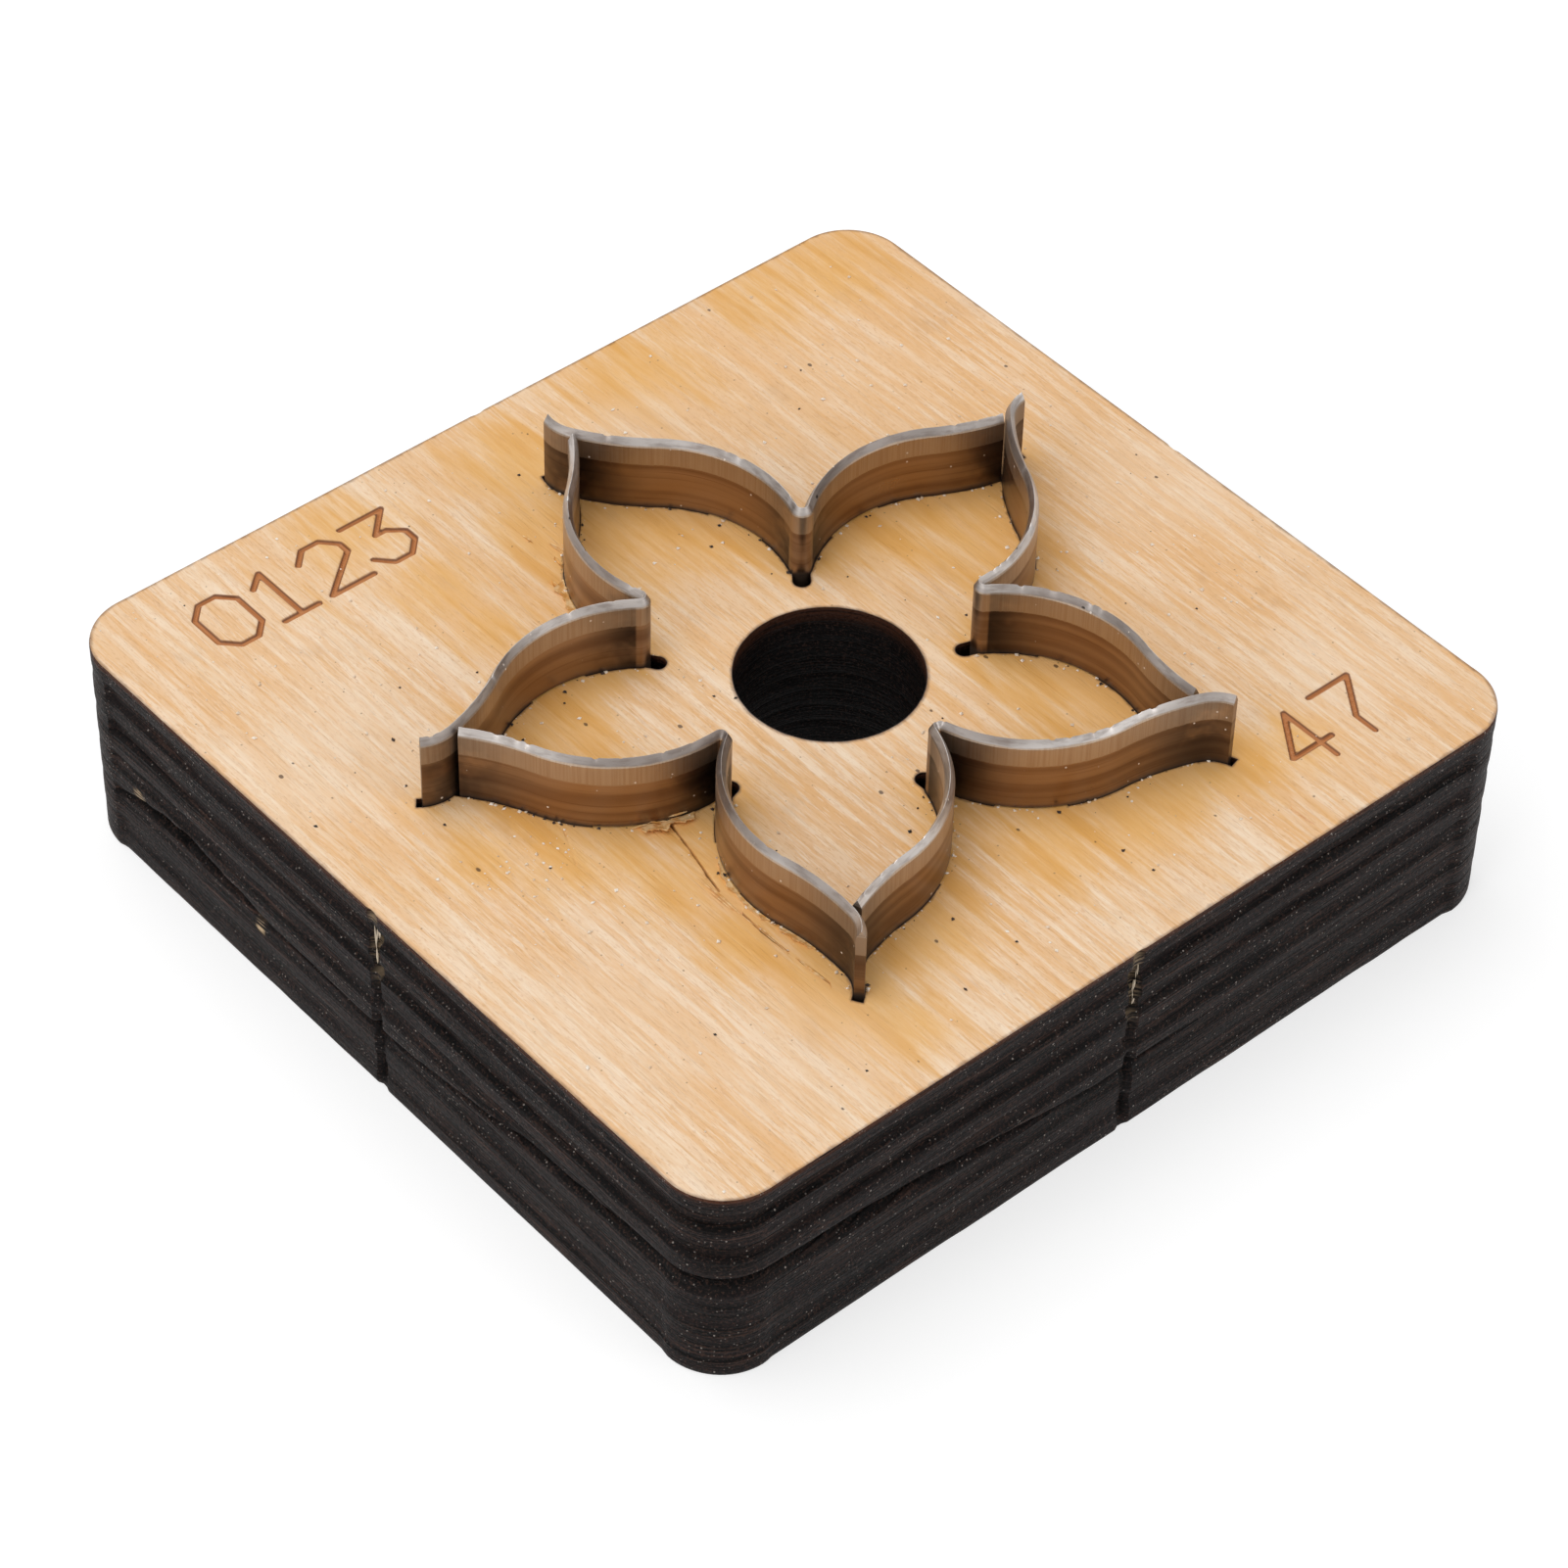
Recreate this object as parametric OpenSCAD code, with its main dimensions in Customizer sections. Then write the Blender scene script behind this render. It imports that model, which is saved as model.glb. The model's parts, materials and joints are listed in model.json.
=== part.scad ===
// Steel rule die: five bent cutting rules pressed into a laser-cut plywood board.
// Origin at the bottom centre of the board, +Z towards the cutting edges, millimetres.

/* [Board] */
// Width of the board, along X
board_w = 74; // [66:0.5:110]
// Depth of the board, along Y
board_d = 71; // [64:0.5:110]
// Thickness of the board
board_t = 17.6; // [12:0.1:20]
// Radius of the upright corners
corner_r = 4.7; // [3:0.1:10]
// Number of veneers in the board
plies = 11; // [5:2:13]
// Inset of every second veneer, burnt back where its grain ends at the edge
ply_inset = 0.22; // [0.05:0.01:0.4]
// Inset gained from the top face to the bottom face along the slanted laser cut
side_taper = 0.1; // [0:0.05:0.8]

/* [Side marks] */
// Veneer, counted from the bottom, whose edge is burnt to a deep groove
groove_ply = 5; // [3:1:7]
// Depth of the deep groove
groove_depth = 0.9; // [0.4:0.1:1.5]
// Height of the deep groove
groove_h = 0.7; // [0.3:0.1:0.9]
// Step from the corner arcs to the straight sides below the deep groove
corner_step = 0.15; // [0.1:0.05:0.6]
// Depth of the snap-off notch in the middle of each side
snap_depth = 1.1; // [0.3:0.1:1.5]
// Width of the snap-off notch
snap_w = 1.2; // [0.8:0.1:3]

/* [Knock-out hole] */
// Diameter of the round hole through the board
hole_d = 13.6; // [6:0.1:16]
// Place of the hole along X
hole_x = 1.7; // [-2:0.1:2]
// Place of the hole along Y
hole_y = -2.1; // [-4:0.1:0]

/* [Flower] */
// Place of the flower's centre along X
flower_x = -0.2; // [-3:0.1:3]
// Place of the flower's centre along Y
flower_y = -2.8; // [-5:0.1:0]
// Distance from the flower's centre to each petal tip
tip_r = 26.9; // [25:0.1:29]
// Distance from the flower's centre to where two petals' bellies would cross in a valley
valley_r = 9.5; // [8.5:0.1:11]
// Greatest width of a petal
petal_w = 15.3; // [14:0.1:17]
// Radius of the convex belly of a petal flank
belly_r = 10.8; // [9.5:0.1:12]
// Radius of the concave flare towards a petal tip
flare_r = 19.4; // [10:0.1:40]

/* [Rule] */
// Thickness of the steel rule
rule_t = 0.71; // [0.45:0.01:1.05]
// Height of the steel rule from its back to its cutting edge
rule_h = 23.8; // [22:0.1:30]
// Angle between the two ground faces of the cutting edge
edge_angle = 54; // [30:1:70]
// Width of the flat that is left on the cutting edge
edge_flat = 0.04; // [0.02:0.01:0.1]
// Inside radius of the bend in each valley
bend_inner_r = 0.1; // [0.05:0.05:1]
// Length of rule that runs on past a petal tip
tail_len = 2.35; // [1.2:0.05:3.5]
// Radius of the bend that turns a tail along its petal
tail_r = 3; // [2:0.1:8]
// Gap between a butt end and the rule that it meets
butt_gap = 0.05; // [0.02:0.01:0.2]

/* [Kerf] */
// Room on each side of a rule in its kerf
kerf_clearance = 0.03; // [0.01:0.01:0.1]
// Length of kerf past the end of a rule's tail
kerf_overrun = 0.4; // [0.1:0.1:0.8]
// Length of the relief slot past the bend, towards the flower's centre
relief_len = 1.15; // [0.5:0.05:2.5]
// Width of the relief slot
relief_w = 1.3; // [1:0.1:2]
// Length of the uncut bridge in each flank's kerf
bridge_len = 5; // [2:0.5:7]
// Room round a bridge in the notch of the rule
bridge_clearance = 0.1; // [0.05:0.05:0.3]

/* [Hidden] */
$fn = 96;

petals = 5;
petal_step = 360 / petals;
half_step = petal_step / 2;
first_valley = 90 - half_step;
through = 1;

flower_centre = [flower_x, flower_y];

ply_t = board_t / plies;
groove_z = groove_ply * ply_t;

// A petal flank in the petal's own frame: its axis is +X and the flank lies at +Y.
// The belly arc starts at the valley and meets the flare arc, which ends at the tip.
valley_pt = valley_r * [cos(half_step), sin(half_step)];
belly_y = petal_w / 2 - belly_r;
belly_c = [valley_pt.x + sqrt(belly_r ^ 2 - (valley_pt.y - belly_y) ^ 2), belly_y];
tip_pt = [tip_r, 0];
to_tip = tip_pt - belly_c;
along_normal = belly_r - (to_tip * to_tip - belly_r ^ 2) / (2 * flare_r);
tip_normal = angle_of(to_tip) + acos(along_normal / norm(to_tip));
flare_c = tip_pt + flare_r * [cos(tip_normal), sin(tip_normal)];

// The same flank in the frame of one rule: the valley lies on +X and the flank climbs to the petal at +Y.
belly_at = in_rule_frame(belly_c);
flare_at = in_rule_frame(flare_c);
tip_at = in_rule_frame(tip_pt);

// The bend is a small arc tangent to both belly arcs.
bend_r = bend_inner_r + rule_t / 2;
bend_at = [belly_at.x + sqrt((belly_r + bend_r) ^ 2 - belly_at.y ^ 2), 0];
bend_half = 180 - angle_of(belly_at - bend_at);

// In the frame of a flank the belly's centre is the origin and the flare's centre lies on +X,
// so both arcs meet on +X. Each arc is given by its sweep before that point.
flank_turn = angle_of(flare_at - belly_at);
belly_sweep = flank_turn - angle_of(bend_at - belly_at);
flare_sweep = flank_turn + 180 - angle_of(tip_at - flare_at);

// A butt end stops where its near corner comes within the gap of the neighbour's face.
face_r = flare_r + rule_t / 2;
flare_span = 2 * flare_c.y;
butt_turn = acos((face_r ^ 2 + flare_span ^ 2 - (face_r + butt_gap) ^ 2) / (2 * face_r * flare_span));
butt_sweep = flare_sweep - butt_turn + 90 - tip_normal;

// The steel is a little thicker in its tight bends, at the crease and in the tail, which lap the flanks.
bend_swell = 0.01;
bend_lap = 0.02;
crease_sweep = bend_half + arc_angle(bend_lap, bend_r);
tail_start = arc_angle(bend_lap, tail_r);

edge_h = (rule_t - edge_flat) / 2 / tan(edge_angle / 2);
kerf_w = rule_t + 2 * kerf_clearance;
kerf_top = board_t + through;
bridge_mid = -belly_sweep / 2;
bridge_half = arc_angle(bridge_len / 2, belly_r);
notch_half = arc_angle(bridge_len / 2 + bridge_clearance, belly_r);

wood_colour = "burlywood";
steel_colour = "silver";

function angle_of(v) = atan2(v.y, v.x);
function arc_angle(length, radius) = length / radius * 180 / PI;
function turned(v, a) = [v.x * cos(a) - v.y * sin(a), v.x * sin(a) + v.y * cos(a)];
function in_rule_frame(p) = turned([p.x, -p.y], half_step);
function inset_of(i) = (i % 2) * ply_inset + side_taper * (1 - i / (plies - 1));

// Sweeps a section, drawn about its own upright centreline, round the origin between two angles.
module along_arc(radius, from, to) {
    rotate_extrude(start = from, angle = to - from)
        translate([radius, 0])
            children();
}

// Section of the rule: a strip with two faces ground to the cutting edge.
module rule_section(swell = 0) {
    side = rule_t / 2 + swell;
    edge = edge_flat / 2 + swell;
    polygon([
        [-side, 0],
        [side, 0],
        [side, rule_h - edge_h],
        [edge, rule_h],
        [-edge, rule_h],
        [-side, rule_h - edge_h]
    ]);
}

// Upright cutter section of a given width, from below the board to a given height.
module slot_section(width, top) {
    translate([-width / 2, -through])
        square([width, top + through]);
}

// Puts its children in the frame of a flank.
module at_flank() {
    translate(belly_at)
        rotate(flank_turn)
            children();
}

// Puts its children as drawn and mirrored to the other flank of the rule.
module both_flanks() {
    children();
    mirror([0, 1, 0])
        children();
}

// Puts its children in the frame of a rule, counted clockwise from the top of the flower.
module at_rule(i) {
    translate(flower_centre)
        rotate(first_valley - (i - 1) * petal_step)
            children();
}

// The crease in the valley.
module crease() {
    both_flanks()
        translate(bend_at)
            rotate(180)
                along_arc(bend_r, -crease_sweep, 0)
                    children();
}

// Flare arc of one flank, in the frame of the flank.
module flare(sweep) {
    translate([belly_r + flare_r, 0])
        rotate(180)
            along_arc(flare_r, -sweep, 0)
                children();
}

// Bend past the tip, on the same side as the flare and tangent to it, in the frame of the flank.
module tail(length) {
    translate([belly_r + flare_r, 0])
        rotate(180 - flare_sweep)
            translate([flare_r - tail_r, 0])
                along_arc(tail_r, -arc_angle(length, tail_r), tail_start)
                    children();
}

// One flank of a rule, with the notch that clears a bridge of the board.
module rule_flank(sweep) {
    at_flank()
        difference() {
            union() {
                along_arc(belly_r, -belly_sweep, 0)
                    rule_section();
                flare(sweep)
                    rule_section();
            }
            along_arc(belly_r, bridge_mid - notch_half, bridge_mid + notch_half)
                slot_section(2 * rule_t, board_t + bridge_clearance);
        }
}

module cutting_rule(i) {
    color(steel_colour)
        at_rule(i) {
            crease()
                rule_section(bend_swell);
            rule_flank(flare_sweep);
            at_flank()
                tail(tail_len)
                    rule_section(bend_swell);
            mirror([0, 1, 0])
                rule_flank(butt_sweep);
        }
}

// Kerf of one flank, left uncut at the bridge.
module flank_kerf() {
    at_flank() {
        along_arc(belly_r, -belly_sweep, bridge_mid - bridge_half)
            slot_section(kerf_w, kerf_top);
        along_arc(belly_r, bridge_mid + bridge_half, 0)
            slot_section(kerf_w, kerf_top);
        flare(flare_sweep)
            slot_section(kerf_w, kerf_top);
    }
}

// Kerf of one rule, with the relief slot at its crease.
module kerf() {
    crease()
        slot_section(kerf_w + 2 * bend_swell, kerf_top);
    both_flanks()
        flank_kerf();
    at_flank()
        tail(tail_len + kerf_overrun)
            slot_section(kerf_w + 2 * bend_swell, kerf_top);
    relief_slot();
}

// Slot with a round end that clears the outside of the bend.
module relief_slot() {
    slot_end = bend_at.x - bend_r - rule_t / 2 - relief_len + relief_w / 2;
    slot_start = bend_at.x - bend_r;
    translate([0, 0, -through])
        linear_extrude(kerf_top + through) {
            translate([slot_end, 0])
                circle(d = relief_w);
            translate([slot_end, -relief_w / 2])
                square([slot_start - slot_end, relief_w]);
        }
}

// Rectangle with round corners, centred.
module rounded_rect(w, d, r) {
    square([w - 2 * r, d], center = true);
    square([w, d - 2 * r], center = true);
    for (x = [-1, 1], y = [-1, 1])
        translate([x * (w / 2 - r), y * (d / 2 - r)])
            circle(r = r);
}

// Outline of one veneer; the straight sides of the lower ones lie behind the corner arcs.
module veneer_outline(inset, step) {
    w = board_w - 2 * inset;
    d = board_d - 2 * inset;
    r = corner_r - inset;
    difference() {
        rounded_rect(w, d, r);
        if (step > 0)
            for (s = [-1, 1]) {
                translate([s * w / 2, 0])
                    square([2 * step, d - 2 * r], center = true);
                translate([0, s * d / 2])
                    square([w - 2 * r, 2 * step], center = true);
            }
    }
}

module veneers() {
    for (i = [0 : plies - 1]) {
        burnt = i == groove_ply ? groove_h : 0;
        step = i < groove_ply ? corner_step : 0;
        translate([0, 0, i * ply_t + burnt])
            linear_extrude(ply_t - burnt)
                veneer_outline(inset_of(i), step);
    }
    translate([0, 0, groove_z])
        linear_extrude(groove_h)
            veneer_outline(inset_of(groove_ply) + groove_depth, 0);
}

// Upright V notches where the board was snapped out of its sheet.
module snap_notches() {
    for (a = [0 : 90 : 270]) {
        half = a % 180 == 0 ? board_w / 2 : board_d / 2;
        rotate(a)
            translate([half, 0, -through])
                linear_extrude(kerf_top + through)
                    polygon([[-snap_depth, 0], [snap_depth, -snap_w], [snap_depth, snap_w]]);
    }
}

module die_board() {
    color(wood_colour)
        difference() {
            veneers();
            translate([hole_x, hole_y, -through])
                cylinder(h = kerf_top + through, d = hole_d);
            for (i = [1 : petals])
                at_rule(i)
                    kerf();
            snap_notches();
        }
}

die_board();
cutting_rule(1);  // cutting_rule_1
cutting_rule(2);  // cutting_rule_2
cutting_rule(3);  // cutting_rule_3
cutting_rule(4);  // cutting_rule_4
cutting_rule(5);  // cutting_rule_5
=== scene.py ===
"""Looks of a flower-shaped steel rule die: a laser-cut plywood board with five bent cutting rules.

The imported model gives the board's box, its kerf outlines and its knock-out hole. The board and the rules
are rebuilt here as finer surfaces in the same places, with burnt edges, engraved digits, splits, splinters
and dust. All sizes are in millimetres until a mesh is made.
"""

import json
import logging
import math
from dataclasses import dataclass, field
from enum import Enum, IntEnum
from typing import Any, Iterable, Sequence

import bpy
import numpy as np
from mathutils import Matrix, Vector
from mathutils.geometry import delaunay_2d_cdt


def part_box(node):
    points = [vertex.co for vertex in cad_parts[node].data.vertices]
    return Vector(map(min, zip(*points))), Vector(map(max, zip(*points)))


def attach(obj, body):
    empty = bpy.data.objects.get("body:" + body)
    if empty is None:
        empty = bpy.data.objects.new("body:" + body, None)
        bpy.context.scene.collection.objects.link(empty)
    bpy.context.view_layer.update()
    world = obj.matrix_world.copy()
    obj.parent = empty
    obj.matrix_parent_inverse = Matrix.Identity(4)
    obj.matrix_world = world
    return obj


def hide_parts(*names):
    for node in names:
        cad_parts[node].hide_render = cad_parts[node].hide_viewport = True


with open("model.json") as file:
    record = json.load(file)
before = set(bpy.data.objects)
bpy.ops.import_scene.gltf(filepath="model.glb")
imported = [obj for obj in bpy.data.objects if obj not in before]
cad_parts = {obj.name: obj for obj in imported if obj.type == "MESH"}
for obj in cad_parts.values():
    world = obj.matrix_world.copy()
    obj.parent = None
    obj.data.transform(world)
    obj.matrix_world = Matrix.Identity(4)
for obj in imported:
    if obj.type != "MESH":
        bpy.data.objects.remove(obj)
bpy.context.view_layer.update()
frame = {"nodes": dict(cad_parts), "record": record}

LOG = logging.getLogger("steel_rule_die")
MM = 0.001
IMAGE_SIDE_PX = 1601
SENSOR_MM = 36.0
NOISE_CELLS = 256
WHITE = (1.0, 1.0, 1.0, 1.0)
Array = np.ndarray
Colour = tuple[float, float, float, float]
Triple = tuple[float, float, float]


class BoardPart(IntEnum):
    """Material slots of the board's mesh."""

    FACE = 0
    CHAR = 1
    BACK = 2


class Flank(Enum):
    """The two flanks of a rule: one runs on as a tail, the other butts against the neighbour."""

    TAIL = 1
    BUTT = -1


# Numbers and curves


def srgb(red: float, green: float, blue: float) -> Colour:
    """Turns a display colour from 0 to 255 into a linear colour with full alpha.

    Args:
        red, green, blue: the display values.

    Returns:
        The linear colour as four numbers.
    """
    shown = np.array([red, green, blue]) / 255.0
    linear = np.where(shown <= 0.04045, shown / 12.92, ((shown + 0.055) / 1.055) ** 2.4)
    return (*map(float, linear), 1.0)


def smoothstep(low: float | Array, high: float | Array, x: Array) -> Array:
    """Smooth rise from 0 at low to 1 at high, flat outside.

    Args:
        low, high: ends of the rise.
        x: values to map.

    Returns:
        The mapped values.
    """
    t = np.clip((x - low) / (high - low), 0.0, 1.0)
    return t * t * (3.0 - 2.0 * t)


def bell(x: Array, width: float | Array) -> Array:
    """Bell curve: e to the minus square of x over the width."""
    return np.exp(-((x / width) ** 2))


def lattice_noise(u: Array, v: Array, seed: int, wrap: int = NOISE_CELLS) -> Array:
    """Smooth noise from 0 to 1: random values on a whole-number lattice, blended by a smooth cubic.

    Args:
        u, v: places on the lattice, arrays of one shape.
        seed: which lattice.
        wrap: number of cells after which the noise repeats along u.

    Returns:
        The noise at each place.
    """
    table = np.random.default_rng(seed).random((wrap, NOISE_CELLS))
    iu = np.floor(u).astype(int)
    iv = np.floor(v).astype(int)
    fu = (u - iu) ** 2 * (3.0 - 2.0 * (u - iu))
    fv = (v - iv) ** 2 * (3.0 - 2.0 * (v - iv))
    one, other = iu % wrap, (iu + 1) % wrap
    rows = (iv % NOISE_CELLS, (iv + 1) % NOISE_CELLS)
    low, high = (table[one, row] * (1.0 - fu) + table[other, row] * fu for row in rows)
    return low * (1.0 - fv) + high * fv


def fractal_noise(u: Array, v: Array, seed: int, octaves: int = 3, wrap: int = NOISE_CELLS) -> Array:
    """Sum of lattice noises, each at twice the pitch and half the height of the one before, from 0 to 1.

    Args:
        u, v: places, arrays of one shape.
        seed: which noise.
        octaves: how many noises are summed.
        wrap: cells of the first noise after which it repeats along u.

    Returns:
        The noise at each place.
    """
    total = np.zeros(np.broadcast(u, v).shape)
    for k in range(octaves):
        total += lattice_noise(u * 2**k, v * 2**k, seed + k, wrap * 2**k) / 2 ** (k + 1)
    return total / (1.0 - 0.5**octaves)


def unit(angle: Array) -> Array:
    """Unit vectors at some angles in radians."""
    return np.stack([np.cos(angle), np.sin(angle)], axis=-1)


def arc_points(centre: Array, radius: float, start: float, end: float, count: int) -> Array:
    """Points on a circle, centre plus radius times the unit vector at evenly spaced angles in radians.

    Args:
        centre: centre of the circle.
        radius: its radius.
        start, end: first and last angle.
        count: number of points.

    Returns:
        An array of count points.
    """
    return centre + radius * unit(np.linspace(start, end, count))


def turned(points: Array, angle: float) -> Array:
    """Points turned about the origin by an angle in radians."""
    c, s = math.cos(angle), math.sin(angle)
    return points @ np.array([[c, s], [-s, c]])


def spun(x: Array, y: Array, angle: Array) -> Array:
    """Flat places turned about the origin, each by its own angle in radians."""
    c, s = np.cos(angle), np.sin(angle)
    return np.stack([x * c - y * s, x * s + y * c], axis=-1)


def direction(vector: Array) -> float:
    """Angle of a flat vector in radians."""
    return math.atan2(vector[1], vector[0])


def length_along(points: Array) -> Array:
    """Length along a line of points at each of them: the sum of the steps up to it."""
    return np.concatenate([[0.0], np.cumsum(np.linalg.norm(np.diff(points, axis=0), axis=1))])


def flat_grid(low: Sequence[float], high: Sequence[float], spacing: float) -> Array:
    """Points of a plain grid over a flat box, row by row.

    Args:
        low, high: two corners of the box.
        spacing: step of the grid.

    Returns:
        The points.
    """
    x, y = (np.arange(first, last, spacing) for first, last in zip(low, high))
    return np.stack(np.meshgrid(x, y), axis=-1).reshape(-1, 2)


def distance_to_segments(points: Array, starts: Array, ends: Array) -> Array:
    """Distance from each point to the nearest of some segments.

    The foot of the perpendicular from the point is kept on the segment.

    Args:
        points: n points.
        starts, ends: the segments' ends.

    Returns:
        n distances.
    """
    best = np.full(len(points), np.inf)
    for a, b in zip(starts, ends):
        run = b - a
        t = np.clip((points - a) @ run / max(run @ run, 1e-12), 0.0, 1.0)
        best = np.minimum(best, np.linalg.norm(points - a - t[:, None] * run, axis=1))
    return best


def distance_to_points(points: Array, targets: Array, chunk: int = 4000) -> Array:
    """Distance from each point to the nearest target, worked out a chunk of points at a time.

    Args:
        points: n points.
        targets: m points.
        chunk: points in one step.

    Returns:
        n distances.
    """
    parts = [points[i : i + chunk] for i in range(0, len(points), chunk)]
    found = [np.sqrt(((p[:, None, :] - targets[None]) ** 2).sum(-1).min(1)) for p in parts]
    return np.concatenate(found)


def inside_loop(points: Array, loop: Array) -> Array:
    """Tells which points lie inside a closed outline, by counting the edges that a ray along +X crosses.

    Args:
        points: n points.
        loop: corners of the outline in order.

    Returns:
        n truth values.
    """
    inside = np.zeros(len(points), bool)
    in_box = ((points >= loop.min(0)) & (points <= loop.max(0))).all(1)
    px, py = points[in_box, 0][:, None], points[in_box, 1][:, None]
    a, b = loop, np.roll(loop, -1, axis=0)
    spans = (a[:, 1] > py) != (b[:, 1] > py)
    rise = np.where(b[:, 1] == a[:, 1], 1.0, b[:, 1] - a[:, 1])
    cross = px < (b[:, 0] - a[:, 0]) * (py - a[:, 1]) / rise + a[:, 0]
    inside[in_box] = (spans & cross).sum(1) % 2 == 1
    return inside


def grid_faces(rows: int, columns: int) -> Array:
    """Quads of a grid of points that is stored row by row.

    Args:
        rows, columns: size of the grid.

    Returns:
        The quads as rows of four point numbers.
    """
    index = np.arange(rows * columns).reshape(rows, columns)
    corners = [index[:-1, :-1], index[:-1, 1:], index[1:, 1:], index[1:, :-1]]
    return np.stack(corners, axis=-1).reshape(-1, 4)


def repeated(faces: Array, count: int, step: int) -> Array:
    """The faces of one bit for many like bits, whose points follow each other with a fixed step."""
    return (faces[None] + np.arange(count)[:, None, None] * step).reshape(-1, faces.shape[1])


# Meshes


@dataclass
class MeshDraft:
    """Blocks of points and faces that become one mesh, welded where points coincide."""

    points: list[Array] = field(default_factory=list)
    layout: list[Array] = field(default_factory=list)
    faces: list[tuple[Array, int]] = field(default_factory=list)
    count: int = 0

    def add(self, points: Array, faces: Array, material: int = 0, layout: Array | None = None) -> None:
        """Adds a block.

        Args:
            points: its points, in millimetres.
            faces: its faces, as rows of point numbers within the block.
            material: the material slot of its faces.
            layout: flat coordinates of its points for the UV map, in millimetres.
        """
        points = np.asarray(points, float).reshape(-1, 3)
        self.points.append(points)
        self.layout.append(points[:, :2] if layout is None else np.asarray(layout, float).reshape(-1, 2))
        self.faces.append((np.asarray(faces, int) + self.count, material))
        self.count += len(points)

    def add_sweep(self, flat: Array, up: Array, run: Array, faces: Array, material: int = 0) -> None:
        """Adds a grid of points swept along a run; its layout is the run and the height.

        Args:
            flat: flat places, with a row per step of the run and a column per height.
            up: their heights.
            run: length along the run at each row.
            faces: the faces between the points.
            material: the material slot of the faces.
        """
        up = np.broadcast_to(up, flat.shape[:2])
        layout = np.stack([np.broadcast_to(run[:, None], up.shape), up], axis=2)
        self.add(np.concatenate([flat, up[:, :, None]], axis=2), faces, material, layout)

    def build(
        self, name: str, materials: Sequence[bpy.types.Material], sharp_deg: float = 35.0
    ) -> bpy.types.Object:
        """Makes the object.

        Args:
            name: name of the object and its mesh.
            materials: one material per slot.
            sharp_deg: edges that turn by more than this are shaded sharp.

        Returns:
            The new object, in the scene.
        """
        points = np.concatenate(self.points)
        layout = np.concatenate(self.layout)
        merged, first = np.unique(np.round(points, 5), axis=0, return_inverse=True)
        first = first.reshape(-1)
        corners, sizes, slots, flat = [], [], [], []
        for faces, slot in self.faces:
            welded = first[faces]
            whole = (np.sort(welded, 1)[:, 1:] != np.sort(welded, 1)[:, :-1]).all(1)
            corners.append(welded[whole].reshape(-1))
            flat.append(layout[faces[whole].reshape(-1)])
            sizes.append(np.full(whole.sum(), faces.shape[1]))
            slots.append(np.full(whole.sum(), slot))
        corner = np.concatenate(corners)
        size = np.concatenate(sizes)
        used, corner = np.unique(corner, return_inverse=True)
        mesh = bpy.data.meshes.new(name)
        mesh.vertices.add(len(used))
        mesh.vertices.foreach_set("co", (merged[used] * MM).reshape(-1))
        mesh.loops.add(len(corner))
        mesh.loops.foreach_set("vertex_index", corner.reshape(-1))
        mesh.polygons.add(len(size))
        mesh.polygons.foreach_set("loop_start", np.cumsum(size) - size)
        mesh.polygons.foreach_set("material_index", np.concatenate(slots))
        mesh.polygons.foreach_set("use_smooth", np.ones(len(size), bool))
        mesh.uv_layers.new(name="layout").data.foreach_set("uv", np.concatenate(flat).reshape(-1))
        mesh.update(calc_edges=True)
        mesh.validate()
        mesh.set_sharp_from_angle(angle=math.radians(sharp_deg))
        for material in materials:
            mesh.materials.append(material)
        piece = bpy.data.objects.new(name, mesh)
        bpy.context.scene.collection.objects.link(piece)
        return piece


def vertex_places(piece: bpy.types.Object) -> Array:
    """The points of a piece's mesh, in millimetres.

    Args:
        piece: the piece.

    Returns:
        One row per point.
    """
    places = np.empty(len(piece.data.vertices) * 3)
    piece.data.vertices.foreach_get("co", places)
    return places.reshape(-1, 3) / MM


def set_attribute(piece: bpy.types.Object, name: str, values: Array) -> None:
    """Stores one number per point of a piece's mesh, for its material.

    Args:
        piece: the piece.
        name: name of the attribute.
        values: one number per point.
    """
    layer = piece.data.attributes.new(name, "FLOAT", "POINT")
    layer.data.foreach_set("value", np.asarray(values, np.float32))


def outline_loops(node: bpy.types.Object, height: float) -> list[Array]:
    """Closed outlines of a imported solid's flat face: the edges that only one of its triangles has.

    Args:
        node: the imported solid's object.
        height: height of the face, in millimetres.

    Returns:
        Each outline's corners in order, the one with the largest box first.
    """
    mesh = node.data
    mesh.calc_loop_triangles()
    triangles = np.empty(len(mesh.loop_triangles) * 3, int)
    mesh.loop_triangles.foreach_get("vertices", triangles)
    points, same = np.unique(np.round(vertex_places(node), 4), axis=0, return_inverse=True)
    triangles = same.reshape(-1)[triangles].reshape(-1, 3)
    flat = triangles[(np.abs(points[triangles][:, :, 2] - height) < 1e-3).all(1)]
    edges = np.sort(np.concatenate([flat[:, [0, 1]], flat[:, [1, 2]], flat[:, [2, 0]]]), axis=1)
    edges, times = np.unique(edges, axis=0, return_counts=True)
    neighbours: dict[int, list[int]] = {}
    for a, b in edges[times == 1].tolist():
        neighbours.setdefault(a, []).append(b)
        neighbours.setdefault(b, []).append(a)
    loops = []
    while neighbours:
        chain = [next(iter(neighbours))]
        while chain[-1] in neighbours:
            options = neighbours.pop(chain[-1])
            chain.append(next((n for n in options if n in neighbours), chain[0]))
        loops.append(points[chain[:-1], :2])
    return sorted(loops, key=lambda loop: -float(np.prod(np.ptp(loop, axis=0))))


# Shader graphs


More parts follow.
